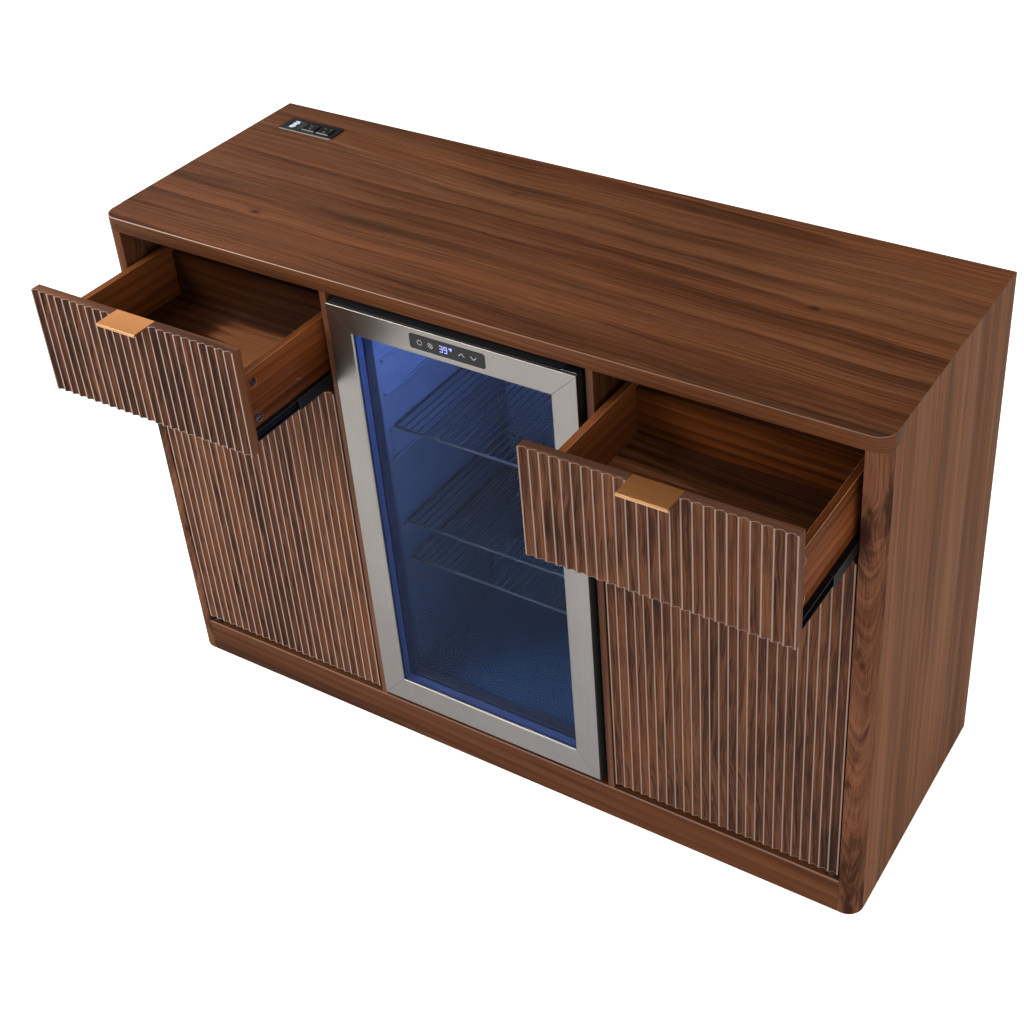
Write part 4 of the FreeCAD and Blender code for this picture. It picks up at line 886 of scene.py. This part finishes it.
# pieces at their built shape, with softened edges: node, finish, edge width in mm, then any edge finish
dressed = [
    ("top_panel", topWalnut, 1.4),
    ("side_panels", sideWalnut, 0.8, sideEdge),
    ("corner_posts", postWalnut, 0.7),
    ("base_front_rail", railWalnut, 0.9),
    ("bottom_panel", boardWalnut, 0.6),
    ("dividers", innerWalnut, 0.6),
    ("inner_rails", railWalnut, 0.6),
    ("runner_spacers", innerWalnut, 0.5),
    ("drawer_bay_floors", boardWalnut, 0.5),
    ("back_panels", backWalnut, 0.4),
    ("adjustable_shelves", boardWalnut, 0.6),
    ("shelf_pins", zincAndGlint, 0.3),
    ("pivot_brackets", bracketBrown, 0.4),
    ("push_latch_bodies", greyPlastic, 0.4),
    ("latch_plunger_left", greyPlastic, 0.4),
    ("latch_plunger_right", greyPlastic, 0.4),
    ("levelling_feet", greyPlastic, 0.5),
    ("slide_cabinet_members", blackSteel, 0.3, slideEdge),
    ("slide_middle_members_left", blackSteel, 0.3, slideEdge),
    ("slide_middle_members_right", blackSteel, 0.3, slideEdge),
    ("fridge_case", blackPaint, 0.8),
    ("fridge_insulation", foamCream, 0.0),
    ("fridge_liner", linerBlue, 0.8),
    ("evaporator_cover", linerBlue, 0.8),
    ("evaporator_coil", coilAluminium, 0.0),
    ("fan_motor", blackPlastic, 0.4),
    ("fan_rotor", greyPlastic, 0.2),
    ("compressor", blackPaint, 0.6),
    ("compressor_mounts", darkRubber, 0.4),
    ("fridge_rear_grille", blackPaint, 0.2),
    # the hinges' zinc edges are a painted glint
    ("fridge_hinges", blackSteel, 0.6, zincAndGlint),
    ("power_gland", darkRubber, 0.4),
    ("interior_lamp", lensGlow, 0.5),
    ("fridge_door_core", doorRim, 0.5),
    ("fridge_door_gasket", gasketBlue, 0.4),
    ("fridge_glass_spacer", spacerBlue, 0.0),
    ("fridge_glass_panes", clearGlass, 0.3),
    ("control_panel", panelBlack, 0.4),
    ("outlet_housing", blackPlastic, 0.4),
    ("outlet_bezel", outletPlate, 0.3),
    ("outlet_inserts", outletFace, 0.3, bronzeEdge),
]
ownNames = {"dividers": "dividerPanels", "compressor": "compressorPot",
            "slide_middle_members_left": "slideMiddleLeft", "slide_middle_members_right": "slideMiddleRight"}
ribbed = ("fridge_liner", "evaporator_cover", "fridge_door_core", "fridge_door_gasket")


def besideFront(polygon):
    # the side veneer runs on round the corner to where the front figure starts
    return polygon.normal.x * polygon.center.x > 0.99 * abs(polygon.center.x)


def onRim(polygon):
    return abs(polygon.normal.z) < 0.5


secondFinish = {"corner_posts": (sideWalnut, besideFront), "top_panel": (topEdgeWalnut, onRim)}


def pieceName(node):
    first, *others = node.split("_")
    return ownNames.get(node, first + "".join(word.title() for word in others))


def dress(node, name, finish, width, *edge):
    other, chosen = secondFinish.get(node, (None, None))
    finishes = [finish, *edge] + ([other] if other else [])
    piece = newPiece(name, copyOfNode(node, name, node in ribbed), finishes, bodyOfNode[node], slotOfNode[node], node)
    if chosen:
        for polygon in piece.data.polygons:
            if chosen(polygon):
                polygon.material_index = 1
    softEdges(piece, width / 1000, material=1 if edge else -1)


for node, *looks in dressed:
    dress(node, pieceName(node), *looks)
for side, backFinish in (("left", drawerShadeWalnut), ("right", drawerWalnut)):
    drawer, cap = "drawer_" + side, side.title()
    dress(drawer + "_sides", "drawerSides" + cap, drawerSideWalnut, 0.7, warmEdgeHighlight)
    dress(drawer + "_back", "drawerBack" + cap, backFinish, 0.5)
    dress(drawer + "_floor", "drawerFloor" + cap, drawerFloorWalnut, 0.3)
    dress(drawer + "_cam_locks", "camLocks" + cap, blackPlastic, 0.5, zincAndGlint)
    dress(drawer + "_slide_members", "drawerSlides" + cap, blackSteel, 0.3, slideEdge)
    dress(drawer + "_pull", "drawerPull" + cap, brassSatin, 0.4)
print("dressed pieces ready")

# stainless door frame: four bars, each brushed along its length, with hairline mitres
frameForm = {"openX": 0.181, "openLow": 0.142, "openHigh": 0.8727, "side": 0.046, "low": 0.05, "high": 0.046,
             "hairline": 0.00008, "edge": 0.0004, "inward": 0.0004, "onMitre": 0.012}
middleZ = (frameForm["openLow"] + frameForm["openHigh"]) / 2


def pastMitre(point):
    # above zero in the upright bars, below it in the level ones
    beside = (abs(point.x) - frameForm["openX"]) / frameForm["side"]
    above = (point.z - frameForm["openHigh"]) / frameForm["high"]
    below = (frameForm["openLow"] - point.z) / frameForm["low"]
    return beside - max(above, below)


frameNode = "fridge_door_frame"
for key, finish in (("up", stainlessUp), ("across", stainlessAcross)):
    work = bmesh.new()
    work.from_mesh(cadNodes[frameNode].data)
    drop = []
    for face in work.faces:
        inPiece = face.calc_center_median() - face.normal * frameForm["inward"]
        if (pastMitre(inPiece) >= 0) != (key == "up"):
            drop.append(face)
    bmesh.ops.delete(work, geom=drop, context="FACES")
    joinFaces(work)
    for vert in work.verts:
        if abs(pastMitre(vert.co)) < frameForm["onMitre"]:
            if key == "up":
                vert.co.z -= math.copysign(frameForm["hairline"], vert.co.z - middleZ)
            else:
                vert.co.x -= math.copysign(frameForm["hairline"], vert.co.x)
    name = "frameBars" + key.title()
    piece = newPiece(name, meshOf(work, name), finish, "fridge_door", slotOfNode[frameNode], frameNode)
    softEdges(piece, frameForm["edge"], 30)

# marks on the control panel: thin strokes just proud of the black plate
panel = {"face": -0.2553, "proud": 0.00015, "sunk": 0.6, "middle": 0.8967, "stroke": 0.0009}


def strokeMesh(name, strokes):
    work = bmesh.new()
    width = panel["stroke"]
    front = panel["face"] - panel["proud"]
    back = front + panel["proud"] * (1 + panel["sunk"])
    for (x0, z0), (x1, z1) in strokes:
        along = Vector((x1 - x0, 0, z1 - z0)).normalized()
        aside = Vector((along.z, 0, -along.x)) * width / 2
        ends = [Vector((x0, 0, z0)) - along * width * 0.3, Vector((x1, 0, z1)) + along * width * 0.3]
        ring = [ends[0] + aside, ends[0] - aside, ends[1] - aside, ends[1] + aside]
        low = [work.verts.new((p.x, front, p.z)) for p in ring]
        high = [work.verts.new((p.x, back, p.z)) for p in ring]
        work.faces.new(low)
        work.faces.new(high[::-1])
        for i in range(4):
            j = (i + 1) % 4
            work.faces.new((low[i], high[i], high[j], low[j]))
    bmesh.ops.recalc_face_normals(work, faces=work.faces)
    return meshOf(work, name)


def arc(x, z, radius, start, end, count):
    turn = [math.radians(start + (end - start) * i / count) for i in range(count + 1)]
    points = [(x + radius * math.cos(a), z + radius * math.sin(a)) for a in turn]
    return list(zip(points, points[1:]))


def digit(x, z, w, h, lit):
    strokes = {"a": ((-w, h), (w, h)), "b": ((w, h), (w, 0)), "c": ((w, 0), (w, -h)), "d": ((-w, -h), (w, -h)),
               "e": ((-w, 0), (-w, -h)), "f": ((-w, h), (-w, 0)), "g": ((-w, 0), (w, 0))}
    return [((x + a[0], z + a[1]), (x + b[0], z + b[1])) for a, b in (strokes[k] for k in lit)]


arrowForm = {"half": 0.005, "foot": 0.0024, "tip": 0.0026}


def arrow(x, z, way):
    half, foot = arrowForm["half"], z - arrowForm["foot"] * way
    points = [(x - half, foot), (x, z + arrowForm["tip"] * way), (x + half, foot)]
    return list(zip(points, points[1:]))


mid = panel["middle"]
marks = arc(-0.0498, mid, 0.0041, 0, 360, 18) + arc(-0.0498, mid, 0.0046, 60, 120, 5)
for offset, reach in ((-0.0030, 0.0016), (-0.0011, 0.0029), (0.0011, 0.0029), (0.0030, 0.0016)):
    x, z = -0.0301 + offset, mid - offset
    marks.append(((x - reach, z - reach * 1.1), (x + reach, z + reach * 1.1)))
marks += arrow(0.0264, mid, 1) + arrow(0.0486, mid, -1)
newPiece("panelIcons", strokeMesh("panelIcons", marks), iconPaint, "fridge_door", "display_black")
shown = digit(-0.0104, mid, 0.0024, 0.0052, "abcdg") + digit(-0.0022, mid, 0.0024, 0.0052, "abcdfg")
shown += arc(0.0058, mid + 0.0044, 0.0010, 0, 360, 10) + digit(0.0084, mid + 0.0028, 0.0011, 0.0024, "aefg")
newPiece("panelDigits", strokeMesh("panelDigits", shown), digitGlow, "fridge_door", "display_black")
print("fridge door ready")

# lit bars in and between the two charging ports: place along y, top, width, depth
port = {"x": -0.628, "y": 0.172, "thick": 0.0004, "edge": 0.00008}
portBars = [(-0.0105, 0.9573, 0.0088, 0.0046), (-0.0055, 0.9567, 0.0119, 0.0042), (0.0, 0.9573, 0.0088, 0.0056),
            (0.0055, 0.9567, 0.0119, 0.0042), (0.0105, 0.9573, 0.0088, 0.0046)]
work = bmesh.new()
for place, topZ, width, depth in portBars:
    spot = Matrix.Translation((port["x"], port["y"] + place, topZ - port["thick"] / 2))
    made = bmesh.ops.create_cube(work, size=1.0, matrix=spot @ Matrix.Diagonal((width, depth, port["thick"], 1)))
    rims = list({e for v in made["verts"] for e in v.link_edges})
    bmesh.ops.bevel(work, geom=rims, offset=port["edge"], segments=1, affect="EDGES")
newPiece("portTongues", meshOf(work, "portTongues"), portGlow, "cabinet", "outlet_black")

# floor
floorMaterial, floorTree, floorShader = startMaterial("floorWhite", Roughness=0.9)
floorTone = noise(floorTree, objectPoint(floorTree), 1.4, 2.0)
floorColour = ramp(floorTree, floorTone, [(0.3, (0.92, 0.92, 0.92)), (0.7, (0.94, 0.94, 0.94))])
feed(floorTree, floorShader, Base_Color=floorColour)
floorGlow = addNode(floorTree, "ShaderNodeEmission", {"Strength": 0.6})
floorSeen = addNode(floorTree, "ShaderNodeLightPath").outputs["Is Camera Ray"]
floorLift = addNode(floorTree, "ShaderNodeMixShader", {0: floorSeen, 2: floorGlow.outputs[0]})
floorSum = addNode(floorTree, "ShaderNodeAddShader", {0: floorShader.outputs[0], 1: floorLift.outputs[0]})
floorTree.links.new(floorSum.outputs[0], floorTree.nodes["Material Output"].inputs["Surface"])
reach = 14
floorCorners = [(-reach, -reach, 0), (reach, -reach, 0), (reach, reach, 0), (-reach, reach, 0)]
floorMesh = bpy.data.meshes.new("studioFloor")
floorMesh.from_pydata(floorCorners, [], [(0, 1, 2, 3)])
floorMesh.materials.append(floorMaterial)
studioFloor = bpy.data.objects.new("studioFloor", floorMesh)
scene.collection.objects.link(studioFloor)

# surroundings: white where seen, soft white as light, dim in reflections
studio = {"light": 0.66, "colour": (1.0, 0.985, 0.97, 1), "reflected": 0.12}
world = bpy.data.worlds.new("studioWorld")
world.use_nodes = True
scene.world = world
sky = world.node_tree
background = sky.nodes["Background"]
background.inputs["Strength"].default_value = studio["light"]
background.inputs["Color"].default_value = studio["colour"]
white = addNode(sky, "ShaderNodeBackground", {"Color": (1, 1, 1), "Strength": 1.0})
dim = addNode(sky, "ShaderNodeBackground", {"Color": (1, 1, 1), "Strength": studio["reflected"]})
rays = addNode(sky, "ShaderNodeLightPath").outputs
seen = calc(sky, "MAXIMUM", rays["Is Camera Ray"], rays["Is Transmission Ray"])
shiny = addNode(sky, "ShaderNodeMixShader", {0: rays["Is Glossy Ray"], 1: background.outputs[0], 2: dim.outputs[0]})
skyMix = addNode(sky, "ShaderNodeMixShader", {0: seen, 1: shiny.outputs[0], 2: white.outputs[0]})
sky.links.new(skyMix.outputs[0], sky.nodes["World Output"].inputs["Surface"])

# lights: place, aim, size, power, colour
studioLights = {
    "keyLight": ((-2.0, -2.3, 2.7), (-0.1, 0, 0.6), 1.4, 76.0, (1.0, 0.97, 0.93)),
    "topLight": ((-0.75, 0.1, 3.0), (0.0, -0.25, 0.8), 0.8, 14.0, (1.0, 0.98, 0.95)),
    "backLight": ((-3.0, 1.7, 2.5), (-0.45, -0.4, 0.93), 1.3, 7.0, (1.0, 0.98, 0.95)),
    "fillLight": ((2.8, -2.2, 1.6), (0.5, 0, 0.5), 2.6, 42.0, (1.0, 0.98, 0.96)),
}
for name, (place, target, size, power, colour) in studioLights.items():
    data = bpy.data.lights.new(name, "AREA")
    data.size = size
    data.energy = power
    data.color = colour
    lamp = bpy.data.objects.new(name, data)
    lamp.location = place
    lamp.rotation_euler = (Vector(target) - Vector(place)).to_track_quat("-Z", "Y").to_euler()
    lamp.visible_glossy = name != "fillLight"
    scene.collection.objects.link(lamp)

# the photo's camera: place in metres, turns in degrees, lens in mm
shot = {"place": (1.3036, -1.8976, 2.2185), "yaw": -31.6, "pitch": 34.68, "roll": -2.51,
        "lens": 58.15, "sensor": 36, "shiftX": -0.1025, "shiftY": -0.1006}
yaw, pitch, roll = (math.radians(shot[k]) for k in ("yaw", "pitch", "roll"))
ahead = Vector((math.sin(yaw) * math.cos(pitch), math.cos(yaw) * math.cos(pitch), -math.sin(pitch)))
level = Vector((math.cos(yaw), -math.sin(yaw), 0))
upward = level.cross(ahead)
right = math.cos(roll) * level + math.sin(roll) * upward
above = -math.sin(roll) * level + math.cos(roll) * upward
cameraData = bpy.data.cameras.new("photoCamera")
cameraData.sensor_width = shot["sensor"]
cameraData.lens = shot["lens"]
cameraData.shift_x = shot["shiftX"]
cameraData.shift_y = shot["shiftY"]
camera = bpy.data.objects.new("photoCamera", cameraData)
camera.matrix_world = Matrix.Translation(shot["place"]) @ Matrix((right, above, -ahead)).transposed().to_4x4()
scene.collection.objects.link(camera)
scene.camera = camera
scene.view_settings.view_transform = "Standard"
print("stage ready")
